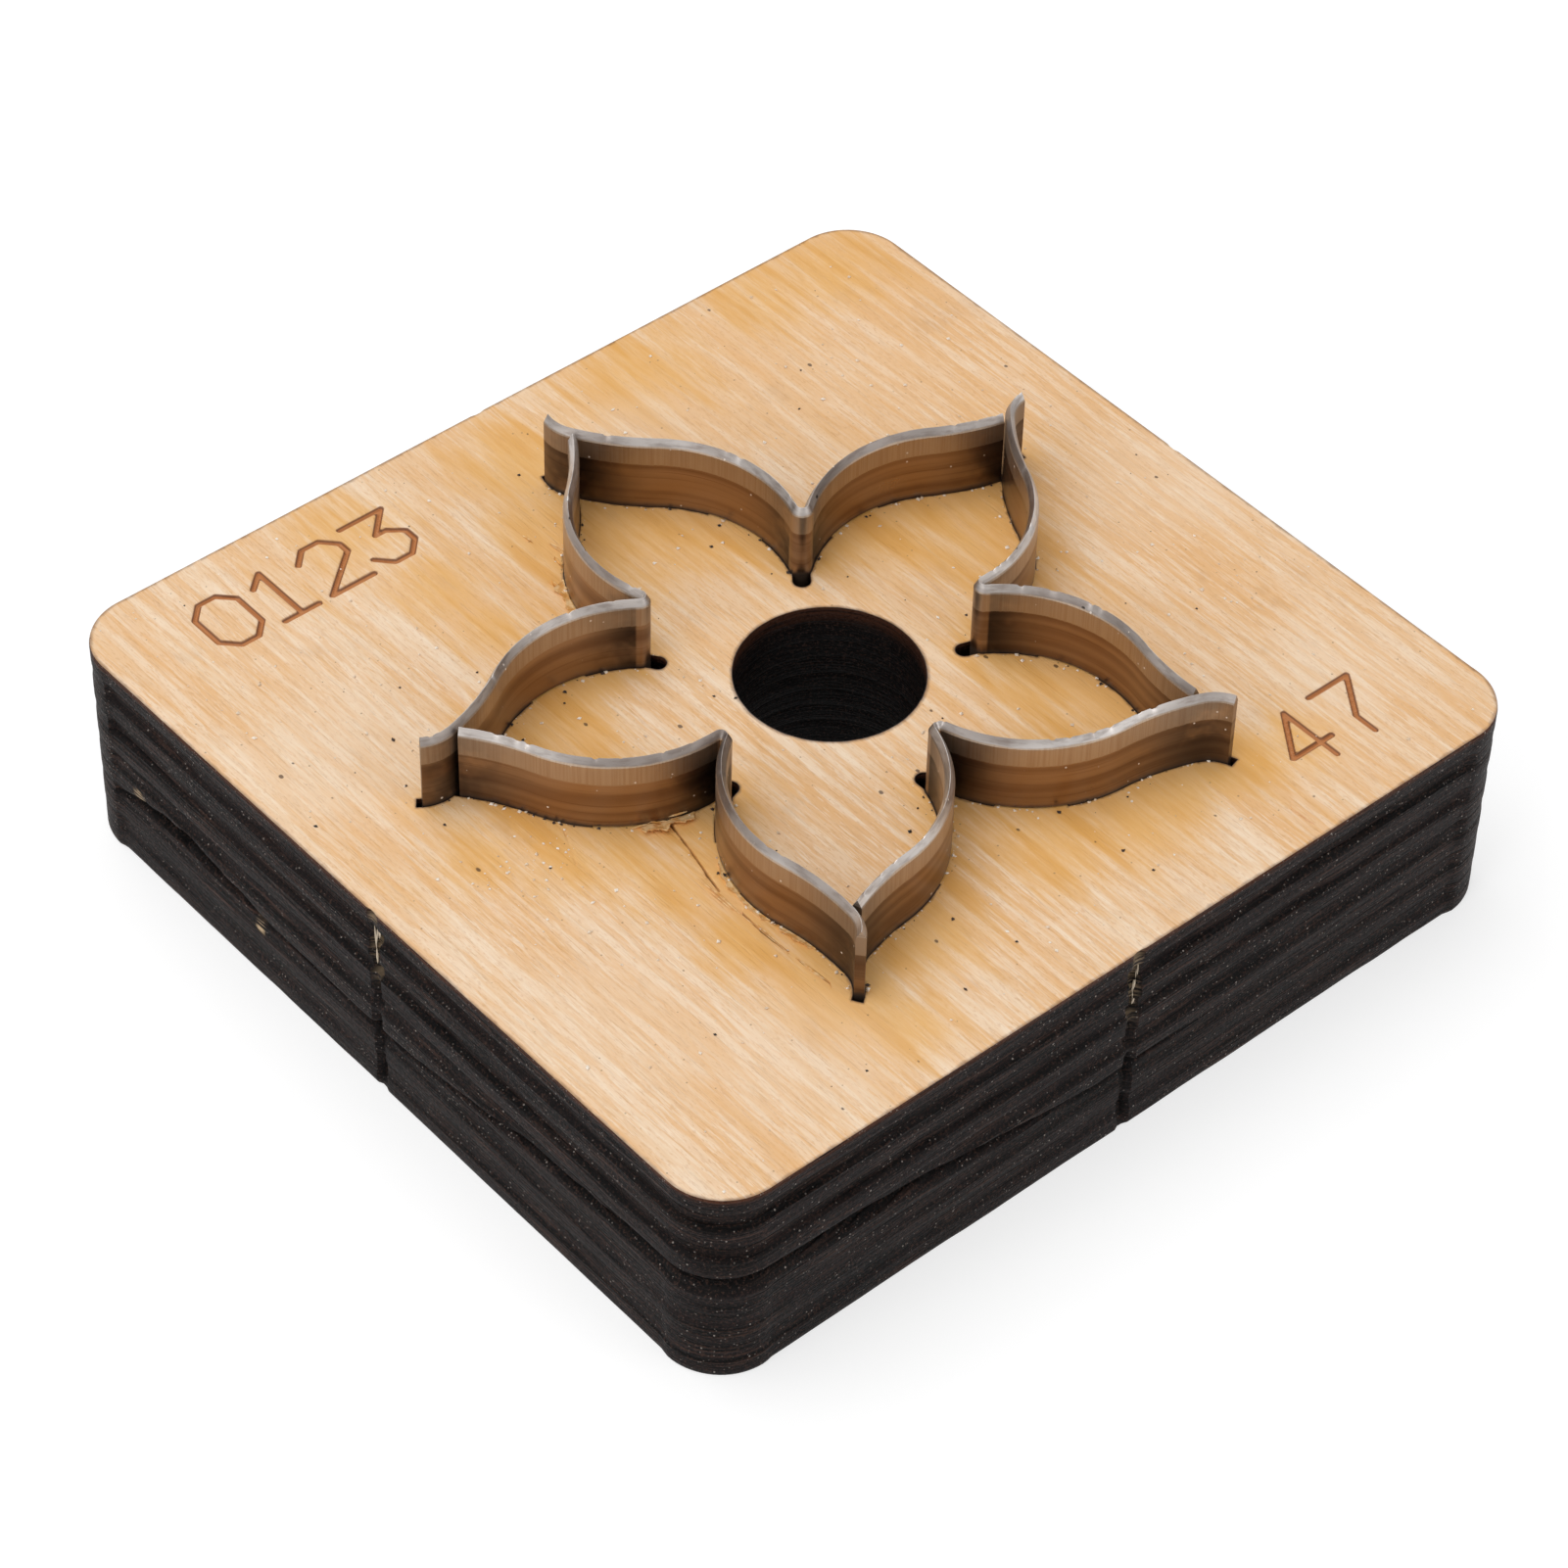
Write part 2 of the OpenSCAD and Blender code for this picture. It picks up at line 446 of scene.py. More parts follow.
class Signal:
    """A socket that carries a number over a surface; arithmetic on it adds Math nodes."""

    def __init__(self, graph: "Graph", socket: bpy.types.NodeSocket) -> None:
        """Wraps a socket of a graph."""
        self.graph = graph
        self.socket = socket

    def _math(self, operation: str, first: Any, second: Any) -> "Signal":
        """A Math node on two numbers or signals."""
        return self.graph.node("ShaderNodeMath", {"operation": operation}, {0: first, 1: second})

    def __add__(self, other: Any) -> "Signal":
        """Sum."""
        return self._math("ADD", self, other)

    __radd__ = __add__

    def __sub__(self, other: Any) -> "Signal":
        """Difference."""
        return self._math("SUBTRACT", self, other)

    def __rsub__(self, other: Any) -> "Signal":
        """Difference from a number."""
        return self._math("SUBTRACT", other, self)

    def __mul__(self, other: Any) -> "Signal":
        """Product."""
        return self._math("MULTIPLY", self, other)

    __rmul__ = __mul__

    def greatest(self, other: Any) -> "Signal":
        """The larger of two."""
        return self._math("MAXIMUM", self, other)

    def folded(self, height: float) -> "Signal":
        """The value folded to and fro between 0 and a height."""
        return self._math("PINGPONG", self, height)

    def rise(self, low: float, high: float) -> "Signal":
        """Smooth rise from 0 at low to 1 at high."""
        settings = {"interpolation_type": "SMOOTHSTEP"}
        return self.graph.node("ShaderNodeMapRange", settings, {0: self, 1: low, 2: high, 3: 0.0, 4: 1.0})

    def fall(self, low: float, high: float) -> "Signal":
        """Smooth fall from 1 at low to 0 at high."""
        return 1.0 - self.rise(low, high)


class Graph:
    """Node tree of a material or of the world."""

    def __init__(self, owner: bpy.types.Material | bpy.types.World) -> None:
        """Empties the node tree of its owner.

        Args:
            owner: the material or world.
        """
        owner.use_nodes = True
        self.owner = owner
        self.tree = owner.node_tree
        self.tree.nodes.clear()

    @classmethod
    def named(cls, name: str) -> "Graph":
        """The graph of a new material of that name."""
        return cls(bpy.data.materials.new(name))

    def add(
        self, kind: str, settings: dict[str, Any] | None = None, inputs: dict[Any, Any] | None = None
    ) -> bpy.types.Node:
        """Adds any node.

        Args:
            kind: its type.
            settings: its own settings, set first.
            inputs: values or signals by socket number or name.

        Returns:
            The node.
        """
        made = self.tree.nodes.new(kind)
        for key, value in (settings or {}).items():
            setattr(made, key, value)
        for key, value in (inputs or {}).items():
            if isinstance(value, Signal):
                self.tree.links.new(value.socket, made.inputs[key])
            else:
                made.inputs[key].default_value = value
        return made

    def node(
        self,
        kind: str,
        settings: dict[str, Any] | None = None,
        inputs: dict[Any, Any] | None = None,
        output: int | str = 0,
    ) -> Signal:
        """Adds any node and gives one of its outputs.

        Args:
            kind, settings, inputs: as for add.
            output: which output, by number or name.

        Returns:
            That output as a signal.
        """
        return Signal(self, self.add(kind, settings, inputs).outputs[output])

    def object_mm(self, stretch: Sequence[float] = (1.0, 1.0, 1.0)) -> Signal:
        """Object coordinates in millimetres, each axis times its stretch.

        Args:
            stretch: factor of each axis.

        Returns:
            The places.
        """
        place = self.node("ShaderNodeTexCoord", output="Object")
        factor = tuple(s / MM for s in stretch)
        return self.node("ShaderNodeVectorMath", {"operation": "MULTIPLY"}, {0: place, 1: factor})

    def layout_mm(self, stretch: Sequence[float] = (1.0, 1.0)) -> Signal:
        """The piece's own flat layout in millimetres, each axis times its stretch."""
        place = self.node("ShaderNodeUVMap", {"uv_map": "layout"})
        return self.node("ShaderNodeVectorMath", {"operation": "MULTIPLY"}, {0: place, 1: (*stretch, 1.0)})

    def axis(self, place: Signal, which: str) -> Signal:
        """One axis of a vector."""
        return self.node("ShaderNodeSeparateXYZ", None, {0: place}, which)

    def attribute(self, name: str) -> Signal:
        """A number stored on the mesh."""
        return self.node("ShaderNodeAttribute", {"attribute_name": name}, None, "Fac")

    def noise(self, place: Signal, detail: float, rough: float) -> Signal:
        """Noise from 0 to 1 about one half, with one wave or so per unit of the place."""
        values = {"Vector": place, "Scale": 1.0, "Detail": detail, "Roughness": rough}
        return self.node("ShaderNodeTexNoise", None, values)

    def object_noise(self, stretch: Sequence[float], detail: float, rough: float) -> Signal:
        """Noise on Object coordinates, with stretch waves or so per millimetre of each axis."""
        return self.noise(self.object_mm(stretch), detail, rough)

    def layout_noise(self, stretch: Sequence[float], detail: float, rough: float) -> Signal:
        """Noise on the piece's own layout, with stretch waves or so per millimetre of each axis."""
        return self.noise(self.layout_mm(stretch), detail, rough)

    def specks(
        self,
        place: Signal,
        scale: float,
        rare: float,
        radius: float,
        soft: float,
        ragged: Signal | None = None,
    ) -> Signal:
        """Round specks on some of many scattered points: each one's radius less the distance to its point.

        Args:
            place: where the surface is.
            scale: points per unit of the place.
            rare: share of the points with no speck.
            radius: the largest radius, in parts of the points' spacing.
            soft: width of the specks' rim, in the same parts.
            ragged: what is added to the radius over the surface.

        Returns:
            1 in the specks and 0 beside them.
        """
        away = self.node("ShaderNodeTexVoronoi", None, {"Vector": place, "Scale": scale}, "Distance")
        shade = Signal(self, away.socket.node.outputs["Color"])
        mark = self.node("ShaderNodeSeparateColor", None, {0: shade}).rise(rare, 1.0) * radius - away
        return (mark if ragged is None else mark + ragged).rise(0.0, soft)

    def blend(self, amount: Any, first: Any, second: Any) -> Signal:
        """Colour between two colours."""
        settings = {"data_type": "RGBA", "blend_type": "MIX", "clamp_factor": True}
        return self.node("ShaderNodeMix", settings, {0: amount, 6: first, 7: second}, 2)

    def layered(self, colour: Any, *coats: tuple[Any, Any]) -> Any:
        """A colour under some coats, each given by how much it covers and its own colour.

        Args:
            colour: the lowest colour.
            coats: how much each coat covers, and its colour, from below.

        Returns:
            The colour on top.
        """
        for amount, coat in coats:
            colour = self.blend(amount, colour, coat)
        return colour

    def seen(self) -> Signal:
        """1 on the rays of the camera, of mirrors and of glass, and 0 on all others.

        Returns:
            That share.
        """
        camera = self.node("ShaderNodeLightPath", output="Is Camera Ray")
        outputs = camera.socket.node.outputs
        glossy, clear = (Signal(self, outputs[name]) for name in ("Is Glossy Ray", "Is Transmission Ray"))
        return camera.greatest(glossy).greatest(clear)

    def finish(self, inputs: dict[str, Any], height: Signal, depth_mm: float) -> bpy.types.Material:
        """Ends the graph in a Principled shader.

        Args:
            inputs: values or signals of the shader's sockets.
            height: height of the fine relief, from 0 to 1.
            depth_mm: depth of that relief.

        Returns:
            The material.
        """
        relief = {"Height": height, "Strength": 1.0, "Distance": depth_mm * MM}
        bump = self.node("ShaderNodeBump", None, relief)
        shader = self.node("ShaderNodeBsdfPrincipled", None, {**inputs, "Normal": bump})
        self.add("ShaderNodeOutputMaterial", None, {0: shader})
        return self.owner


# Finishes


@dataclass(frozen=True)
class VeneerFinish:
    """Sanded face veneer with its grain along Y, yellowed near the rules and scorched at every cut; the black
    line at the kerfs is partly painted shade.
    """

    pale: Colour = srgb(234, 203, 168)
    tan: Colour = srgb(230, 189, 145)
    orange: Colour = srgb(224, 172, 112)
    streak: Colour = srgb(243, 222, 197)
    fibre: Colour = srgb(200, 148, 96)
    glaze: Colour = srgb(228, 175, 100)
    amber: Colour = srgb(214, 152, 66)
    grime: Colour = srgb(176, 138, 104)
    fleck: Colour = srgb(62, 42, 30)
    grit: Colour = srgb(112, 84, 62)
    scorch: Colour = srgb(84, 40, 22)
    char: Colour = srgb(24, 17, 14)
    groove: Colour = srgb(184, 120, 70)
    relief_mm: float = 0.03

    def wood(self, g: Graph) -> tuple[Signal, Signal]:
        """Bare wood: broad bands, pale and orange streaks of several lengths, and fine dark fibres.

        Args:
            g: the material's graph.

        Returns:
            The colour, and the fibres for the relief.
        """
        broad = g.object_noise((0.11, 0.016, 0.1), 3.0, 0.55)
        bands = g.object_noise((0.55, 0.030, 0.1), 3.0, 0.6)
        flames = g.object_noise((1.15, 0.07, 0.1), 2.0, 0.55)
        streaks = g.object_noise((2.4, 0.13, 0.2), 1.0, 0.5)
        dashes = g.object_noise((4.2, 0.26, 0.2), 1.0, 0.5)
        ticks = g.object_noise((8.0, 0.5, 0.2), 1.0, 0.5)
        fibres = g.object_noise((9.0, 0.35, 0.2), 2.0, 0.6)
        pores = g.object_noise((11.0, 2.2, 0.2), 1.0, 0.5)
        mottle = g.object_noise((1.1, 0.7, 0.2), 3.0, 0.7)
        patches = g.object_noise((0.13, 0.06, 0.1), 2.0, 0.5)
        place = g.object_mm()
        far = (g.axis(place, "X") + g.axis(place, "Y") * 0.6).rise(-14.0, 44.0)
        crisp = 0.56 - far * 0.16
        colour = g.layered(
            self.pale,
            (bands.rise(0.36, 0.68), self.tan),
            (broad.rise(0.44, 0.64) * 0.5, self.orange),
            (far * 0.4, self.orange),
            (flames.rise(0.53, 0.60) * crisp * 0.8, self.streak),
            (flames.fall(0.38, 0.45) * crisp * 0.7, self.orange),
            (streaks.rise(0.54, 0.60) * patches.rise(0.38, 0.58) * crisp * 0.6, self.streak),
            (streaks.fall(0.37, 0.42) * patches.fall(0.40, 0.62) * crisp * 0.6, self.orange),
            (dashes.rise(0.58, 0.62) * patches.rise(0.34, 0.58) * crisp * 0.8, self.streak),
            (dashes.fall(0.35, 0.40) * patches.fall(0.36, 0.70) * crisp * 0.8, self.orange),
            (ticks.fall(0.31, 0.37) * patches.fall(0.40, 0.74) * crisp, self.orange),
            (ticks.rise(0.63, 0.69) * patches.rise(0.30, 0.60) * crisp, self.streak),
            (fibres.rise(0.54, 0.74) * 0.26, self.fibre),
            (pores.rise(0.56, 0.72) * 0.34, self.fibre),
            (mottle.rise(0.50, 0.72) * 0.22, self.tan),
        )
        return colour, fibres

    def material(self) -> bpy.types.Material:
        """Builds the material: bare wood under glaze, grime, flecks, strokes, splits and burnt edges.

        Returns:
            The material.
        """
        g = Graph.named("face_veneer")
        colour, fibres = self.wood(g)
        edge = g.object_noise((0.36, 0.07, 0.1), 4.0, 0.65)
        flame = g.object_noise((1.3, 0.075, 0.1), 3.0, 0.6)
        grey = g.object_noise((0.22, 0.16, 0.1), 3.0, 0.6)
        blot = g.object_noise((2.5, 2.5, 0.0), 2.0, 0.6)
        ragged = g.object_noise((1.4, 0.9, 0.3), 2.0, 0.6) - 0.5
        stain = (g.attribute("stain") + (edge - 0.5) * 0.8 + (flame - 0.5)).rise(0.08, 0.78)
        bleached = (g.attribute("bleach") + (edge - 0.5) * 0.8).rise(0.2, 0.8)
        fleck = g.specks(g.object_mm((1.0, 0.8, 0.0)), 0.62, 0.72, 0.12, 0.04, (blot - 0.5) * 0.12)
        grit = g.specks(g.object_mm((1.0, 1.0, 0.0)), 1.7, 0.72, 0.15, 0.04)
        stroke, split, burnt = (g.attribute(name) for name in ("stroke", "split", "burnt"))
        colour = g.layered(
            colour,
            (stain * 0.8, self.glaze),
            (stain * (edge * 0.6 + flame * 0.4).rise(0.46, 0.62) * 0.5, self.amber),
            (grey.rise(0.6, 0.78) * 0.22, self.grime),
            (bleached * 0.2, self.streak),
            (fleck * 0.8, self.fleck),
            (grit * 0.5, self.grit),
            (stroke.fall(0.14, 0.32), self.groove),
            (stroke.rise(0.12, 0.19) * stroke.fall(0.21, 0.29) * 0.75, self.scorch),
            (split.fall(0.0, 0.11) * 0.75, self.scorch),
            ((burnt + ragged * 0.25).fall(0.05, 0.26) * 0.6, self.scorch),
            # Black line at every cut: real char, and at the kerfs also painted shade at the rules' foot.
            ((burnt + ragged * 0.08).fall(0.01, 0.08), self.char),
        )
        rough = 0.50 + (fibres - 0.5) * 0.3 - stain * 0.1
        relief = fibres.fall(0.5, 0.8) * 0.7 - fleck * 0.3
        inputs = {"Base Color": colour, "Roughness": rough, "Specular IOR Level": 0.3}
        return g.finish(inputs, relief, self.relief_mm)


@dataclass(frozen=True)
class CharFinish:
    """Laser-burnt plywood edge: sooty black with brown veneer lines, dust and torn pale fibres."""

    soot: Colour = srgb(28, 23, 23)
    black: Colour = srgb(6, 5, 5)
    brown: Colour = srgb(78, 57, 49)
    rust: Colour = srgb(104, 62, 42)
    dust: Colour = srgb(170, 160, 152)
    torn: Colour = srgb(206, 178, 142)
    ply_t: float = 1.6
    relief_mm: float = 0.25

    def material(self) -> bpy.types.Material:
        """Builds the material: soot with black seams between the veneers, and painted shade (black) deep in
        the side, in the hole and in the kerfs.

        Returns:
            The material.
        """
        g = Graph.named("charred_edge")
        lines = g.layout_noise((0.035, 1.25), 3.0, 0.65)
        strands = g.layout_noise((0.16, 4.5), 2.0, 0.6)
        patches = g.layout_noise((0.09, 0.25), 2.0, 0.5)
        grain = g.object_noise((3.0, 3.0, 5.0), 2.0, 0.6)
        powder = g.object_noise((4.6, 4.6, 5.4), 2.0, 0.75)
        inset, rim, torn = (g.attribute(name) for name in ("inset", "rim", "torn"))
        up = g.axis(g.layout_mm(), "Y") + (lines - 0.5) * 1.5
        seam = up.folded(self.ply_t / 2).fall(0.05, 0.42) * patches.rise(0.34, 0.62)
        open_air = inset.fall(0.5, 0.8)
        speck = g.specks(g.object_mm(), 2.0, 0.4, 0.17, 0.05)
        fine_speck = g.specks(g.object_mm(), 4.2, 0.55, 0.32, 0.1)
        colour = g.layered(
            self.black,
            (lines.rise(0.36, 0.60), self.soot),
            (strands.rise(0.5, 0.7) * patches.rise(0.36, 0.6) * 0.7, self.brown),
            (seam * 0.85, self.black),
            # Painted shade: black where the side lies deep behind the outline, in the groove, the hole and
            # the kerfs.
            (inset.rise(0.35, 0.95) * 0.9, self.black),
            (rim.fall(0.05, 0.75) * strands.rise(0.25, 0.55) * 0.6, self.rust),
            (speck * open_air * 0.8, self.dust),
            (fine_speck * open_air * 0.42, self.dust),
            (powder.rise(0.53, 0.66) * 0.5, self.brown),
            (powder.fall(0.33, 0.47) * 0.65, self.black),
            (torn * strands.rise(0.42, 0.58) * 0.9, self.torn),
        )
        rough = 0.55 + (grain - 0.5) * 0.4
        relief = strands * 0.4 + lines * 0.25 + grain * 0.2 + powder * 0.25 - seam * 0.5
        inputs = {"Base Color": colour, "Roughness": rough, "Specular IOR Level": 0.08}
        return g.finish(inputs, relief, self.relief_mm)


@dataclass(frozen=True)
class BackFinish:
    """Under face of the board: plain veneer, smoked round the cuts."""

    pale: Colour = srgb(222, 186, 142)
    tan: Colour = srgb(200, 152, 98)
    soot: Colour = srgb(58, 38, 28)
    relief_mm: float = 0.04

    def material(self) -> bpy.types.Material:
        """Builds the material: bands and fibres along the grain, smoked near the cuts.

        Returns:
            The material.
        """
        g = Graph.named("back_veneer")
        bands = g.object_noise((0.5, 0.03, 0.1), 3.0, 0.55)
        fibres = g.object_noise((4.5, 0.14, 0.2), 3.0, 0.6)
        smoke = g.attribute("burnt") + g.object_noise((0.6, 0.6, 0.3), 3.0, 0.6) * 0.8
        colour = g.layered(
            self.pale,
            (bands.rise(0.35, 0.7), self.tan),
            (fibres.rise(0.45, 0.8) * 0.4, self.tan),
            (smoke.fall(0.3, 1.3) * 0.85, self.soot),
        )
        return g.finish({"Base Color": colour, "Roughness": 0.6 + fibres * 0.15}, fibres, self.relief_mm)


@dataclass(frozen=True)
class RuleFinish:
    """Ground spring steel: a bevel with painted highlights, a band with upright grind lines, and a darker
    drawn flank, both warm-tinted partly by a painted reflection of the wood.

    The bevel and the band start at their own heights above the rule's back, and the painted shade at the
    foot, where the rule leaves the board, fades out between the two heights of foot_z.
    """

    # bevel is the painted highlight on the edge; dull_bevel is the edge's own colour.
    bevel: Colour = srgb(196, 190, 186)
    dull_bevel: Colour = srgb(146, 138, 133)
    worn_bevel: Colour = srgb(112, 98, 90)
    # The warm brown tint of ground, drawn and the oil bands is partly a painted reflection of the wood.
    ground: Colour = srgb(176, 158, 140)
    drawn: Colour = srgb(157, 131, 109)
    oil_and_reflection: Colour = srgb(106, 78, 60)
    # soot is the colour of the painted shade in the corners and at the foot, and of the nicks.
    soot: Colour = srgb(26, 22, 22)
    dust: Colour = srgb(236, 226, 214)
    bevel_z: float = 23.26
    band_z: float = 21.55
    foot_z: tuple[float, float] = (17.6, 18.1)
    border: float = 0.05
    relief_mm: float = 0.012

    def material(self) -> bpy.types.Material:
        """Builds the material; the layout runs along the rule and up from its back.

        Returns:
            The material.
        """
        g = Graph.named("rule_steel")
        up = g.axis(g.layout_mm(), "Y")
        grind = g.layout_noise((7.0, 0.12), 2.0, 0.6)
        drawn = g.layout_noise((0.07, 4.0), 3.0, 0.6)
        bands = g.layout_noise((0.02, 0.9), 1.0, 0.5)
        cloud = g.layout_noise((0.25, 0.3), 3.0, 0.6)
        wear = g.layout_noise((0.5, 2.0), 3.0, 0.6)
        painted_highlight = g.layout_noise((0.09, 0.2), 2.0, 0.5)
        uneven = cloud - 0.5
        is_bevel = (up + uneven * 0.3).rise(self.bevel_z - self.border, self.bevel_z + self.border)
        is_ground = (up + (grind - 0.5) * 0.16).rise(self.band_z - self.border, self.band_z + self.border)
        # Painted shade at the foot of the rule, just above the board.
        foot = (up + uneven * 0.5).fall(*self.foot_z)
        # Painted shade in the corners at the crease and at the petal tips.
        smudge = g.attribute("smudge") * cloud.rise(0.15, 0.55) * (1.0 - is_ground * 0.45)
        nick = g.specks(g.layout_mm((0.9, 1.4)), 0.9, 0.62, 0.16, 0.05)
        speck = g.specks(g.layout_mm(), 1.2, 0.55, 0.12, 0.04)
        # Flank and band: steel colours whose warm tint is partly a painted reflection of the wood.
        lower = g.layered(
            self.drawn, (bands.rise(0.35, 0.7) * 0.6, self.oil_and_reflection), (drawn.rise(0.52, 0.7) * 0.4, self.oil_and_reflection)
        )
        upper = g.blend(grind.rise(0.35, 0.75) * 0.6, self.ground, self.drawn)
        edge = g.layered(
            self.dull_bevel,
            # Painted highlight on the edge, in patches.
            (painted_highlight.rise(0.40, 0.62), self.bevel),
            (wear.rise(0.42, 0.68) * 0.5, self.worn_bevel),
            (nick * 0.85, self.soot),
        )
        colour = g.layered(
            lower,
            (is_ground, upper),
            (smudge * 0.95, self.soot),
            (foot * 0.6, self.soot),
            (is_bevel, edge),
            (speck * 0.8, self.dust),
        )
        metal = 1.0 - (speck * 0.9).greatest(foot * 0.5)
        rough = 0.30 + is_ground * 0.12 - is_bevel * 0.08 + uneven * 0.15 + smudge * 0.2 + speck * 0.4
        relief = grind * is_ground * 0.6 + drawn * (1.0 - is_ground) * 0.4
        return g.finish({"Base Color": colour, "Metallic": metal, "Roughness": rough}, relief, self.relief_mm)


@dataclass(frozen=True)
class CrumbFinish:
    """Dust and splinters: wood or soot in small bits, and another colour for bits well below the face."""

    name: str
    light: Colour
    dark: Colour
    sunk: Colour | None = None
    sunk_z: tuple[float, float] = (16.8, 17.2)
    relief_mm: float = 0.03

    def material(self) -> bpy.types.Material:
        """Builds the material: two colours in a fine noise, and the third one below the face.

        Returns:
            The material.
        """
        g = Graph.named(self.name)
        shade = g.object_noise((2.0, 2.0, 2.0), 2.0, 0.6)
        colour = g.blend(shade.rise(0.35, 0.68), self.light, self.dark)
        if self.sunk:
            colour = g.blend(g.axis(g.object_mm(), "Z").fall(*self.sunk_z), colour, self.sunk)
        return g.finish({"Base Color": colour, "Roughness": 0.6 + shade * 0.2}, shade, self.relief_mm)


# The rules


@dataclass
class CuttingRules:
    """Five like rules round the flower, each a strip carried along two flanks and the crease between them."""

    centre: tuple[float, float] = (-0.2, -2.8)
    petals: int = 5
    tip_r: float = 26.9
    valley_r: float = 9.5
    petal_w: float = 15.3
    belly_r: float = 10.8
    flare_r: float = 19.4
    thickness: float = 0.71
    edge_angle_deg: float = 54.0
    edge_flat: float = 0.04
    crease_inner_r: float = 0.1
    tail_len: float = 2.35
    tail_r: float = 3.0
    butt_gap: float = 0.05
    bridge_len: float = 5.0
    bridge_clearance: float = 0.1
    step_mm: float = 0.16
    crease_points: int = 10
    tail_points: int = 18
    wear_mm: float = 0.03
    nick_mm: float = 0.14
    worn_h: float = 0.12
    # Reach of the painted shade at the crease and at the petal tips.
    crease_shade_r: float = 3.2
    tip_shade_r: float = 4.0
    layout_step: float = 60.0

    def __post_init__(self) -> None:
        """Works out the arcs of one flank in the frame of a rule, whose valley lies on +X."""
        half = math.pi / self.petals
        valley = self.valley_r * np.array([math.cos(half), math.sin(half)])
        belly_y = self.petal_w / 2 - self.belly_r
        belly = np.array([valley[0] + math.sqrt(self.belly_r**2 - (valley[1] - belly_y) ** 2), belly_y])
        tip = np.array([self.tip_r, 0.0])
        reach = tip - belly
        along = self.belly_r - (reach @ reach - self.belly_r**2) / (2 * self.flare_r)
        normal = direction(reach) + math.acos(along / np.linalg.norm(reach))
        flare = tip + self.flare_r * np.array([math.cos(normal), math.sin(normal)])
        face_r = self.flare_r + self.thickness / 2
        span = 2 * flare[1]
        turn = math.acos((face_r**2 + span**2 - (face_r + self.butt_gap) ** 2) / (2 * face_r * span))
        self.half_step = half
        self.belly_at, self.flare_at, self.tip_at = (
            turned(p * np.array([1, -1]), half) for p in (belly, flare, tip)
        )
        self.crease_r = self.crease_inner_r + self.thickness / 2
        offset = math.sqrt((self.belly_r + self.crease_r) ** 2 - self.belly_at[1] ** 2)
        self.crease_at = np.array([self.belly_at[0] + offset, 0.0])
        self.butt_trim = turn - (math.pi / 2 - normal)

    def flank_path(self, flank: Flank) -> Array:
        """Centreline from the valley outwards: half the crease, the belly, the flare and the bent tail.

        Args:
            flank: which of the two flanks.

        Returns:
            The points, from the valley to the end.
        """
        turn = direction(self.belly_at - self.crease_at)
        crease = arc_points(self.crease_at, self.crease_r, math.pi, turn, self.crease_points)
        middle = direction(self.flare_at - self.belly_at)
        first = direction(self.crease_at - self.belly_at)
        count = int(self.belly_r * (middle - first) / self.step_mm)
        belly = arc_points(self.belly_at, self.belly_r, first, middle, count)
        tip = direction(self.tip_at - self.flare_at)
        end = tip + self.butt_trim if flank is Flank.BUTT else tip
        count = int(self.flare_r * (middle + math.pi - end) / self.step_mm)
        flare = arc_points(self.flare_at, self.flare_r, middle + math.pi, end, count)
        arcs = [crease, belly[1:], flare[1:]]
        if flank is Flank.TAIL:
            tail_at = self.tip_at + (self.flare_at - self.tip_at) * self.tail_r / self.flare_r
            end = tip - self.tail_len / self.tail_r
            arcs.append(arc_points(tail_at, self.tail_r, tip, end, self.tail_points)[1:])
        return np.concatenate(arcs) * np.array([1, flank.value])

    def path(self) -> tuple[Array, Array, Array]:
        """Centreline of one rule in its own frame, from the butt end to the tail end.

        Returns:
            The points, the unit normals to the left of the run, and the length along the run from the crease.
        """
        butt, tail = self.flank_path(Flank.BUTT), self.flank_path(Flank.TAIL)
        points = np.concatenate([butt[::-1], tail[1:]])
        run = length_along(points)
        tangent = np.gradient(points, run, axis=0)
        tangent /= np.linalg.norm(tangent, axis=1)[:, None]
        normal = np.stack([-tangent[:, 1], tangent[:, 0]], axis=1)
        return points, normal, run - run[len(butt) - 1]

    def turn_of(self, index: int) -> float:
        """Angle of a rule's valley, counted clockwise from the top of the flower."""
        return math.pi / 2 - self.half_step - (index - 1) * 2 * self.half_step

    def placed(self, points: Array, index: int) -> Array:
        """Points of a rule's own frame in the board's frame."""
        return turned(points, self.turn_of(index)) + np.array(self.centre)

    def all_centrelines(self) -> Array:
        """Points along the centrelines of all rules."""
        points = self.path()[0][::2]
        return np.concatenate([self.placed(points, i + 1) for i in range(self.petals)])

    def flower(self) -> Array:
        """The flower's outline: all centreline points in order of their angle about its centre.

        Returns:
            The points.
        """
        points = self.all_centrelines()
        away = points - np.array(self.centre)
        return points[np.argsort(np.arctan2(away[:, 1], away[:, 0]))]

    def reach(self, flat: Array) -> Array:
        """Distance of each flat point from the flower's centre."""
        return np.linalg.norm(flat - np.array(self.centre), axis=1)

    def section(self, back_z: float, notch_z: float, top_z: float) -> tuple[Array, Array, int]:
        """Section of the strip, up one side and down the other.

        Args:
            back_z: height of the back.
            notch_z: height of the bridge notches' ceiling.
            top_z: height of the cutting edge.

        Returns:
            Sideways offsets, heights, and the number of points from the back to the notch ceiling.
        """
        half = self.thickness / 2
        edge_h = (half - self.edge_flat / 2) / math.tan(math.radians(self.edge_angle_deg / 2))
        low = np.linspace(back_z, notch_z, 5)
        high = np.linspace(notch_z, top_z - edge_h, 7)[1:]
        heights = np.concatenate([low, high, [top_z - edge_h / 2, top_z]])
        side = np.full(len(low) + len(high), half)
        offsets = np.concatenate([side, [half / 2 + self.edge_flat / 4, self.edge_flat / 2]])
        offsets = np.concatenate([offsets, -offsets[::-1]])
        return offsets, np.concatenate([heights, heights[::-1]]), len(low)

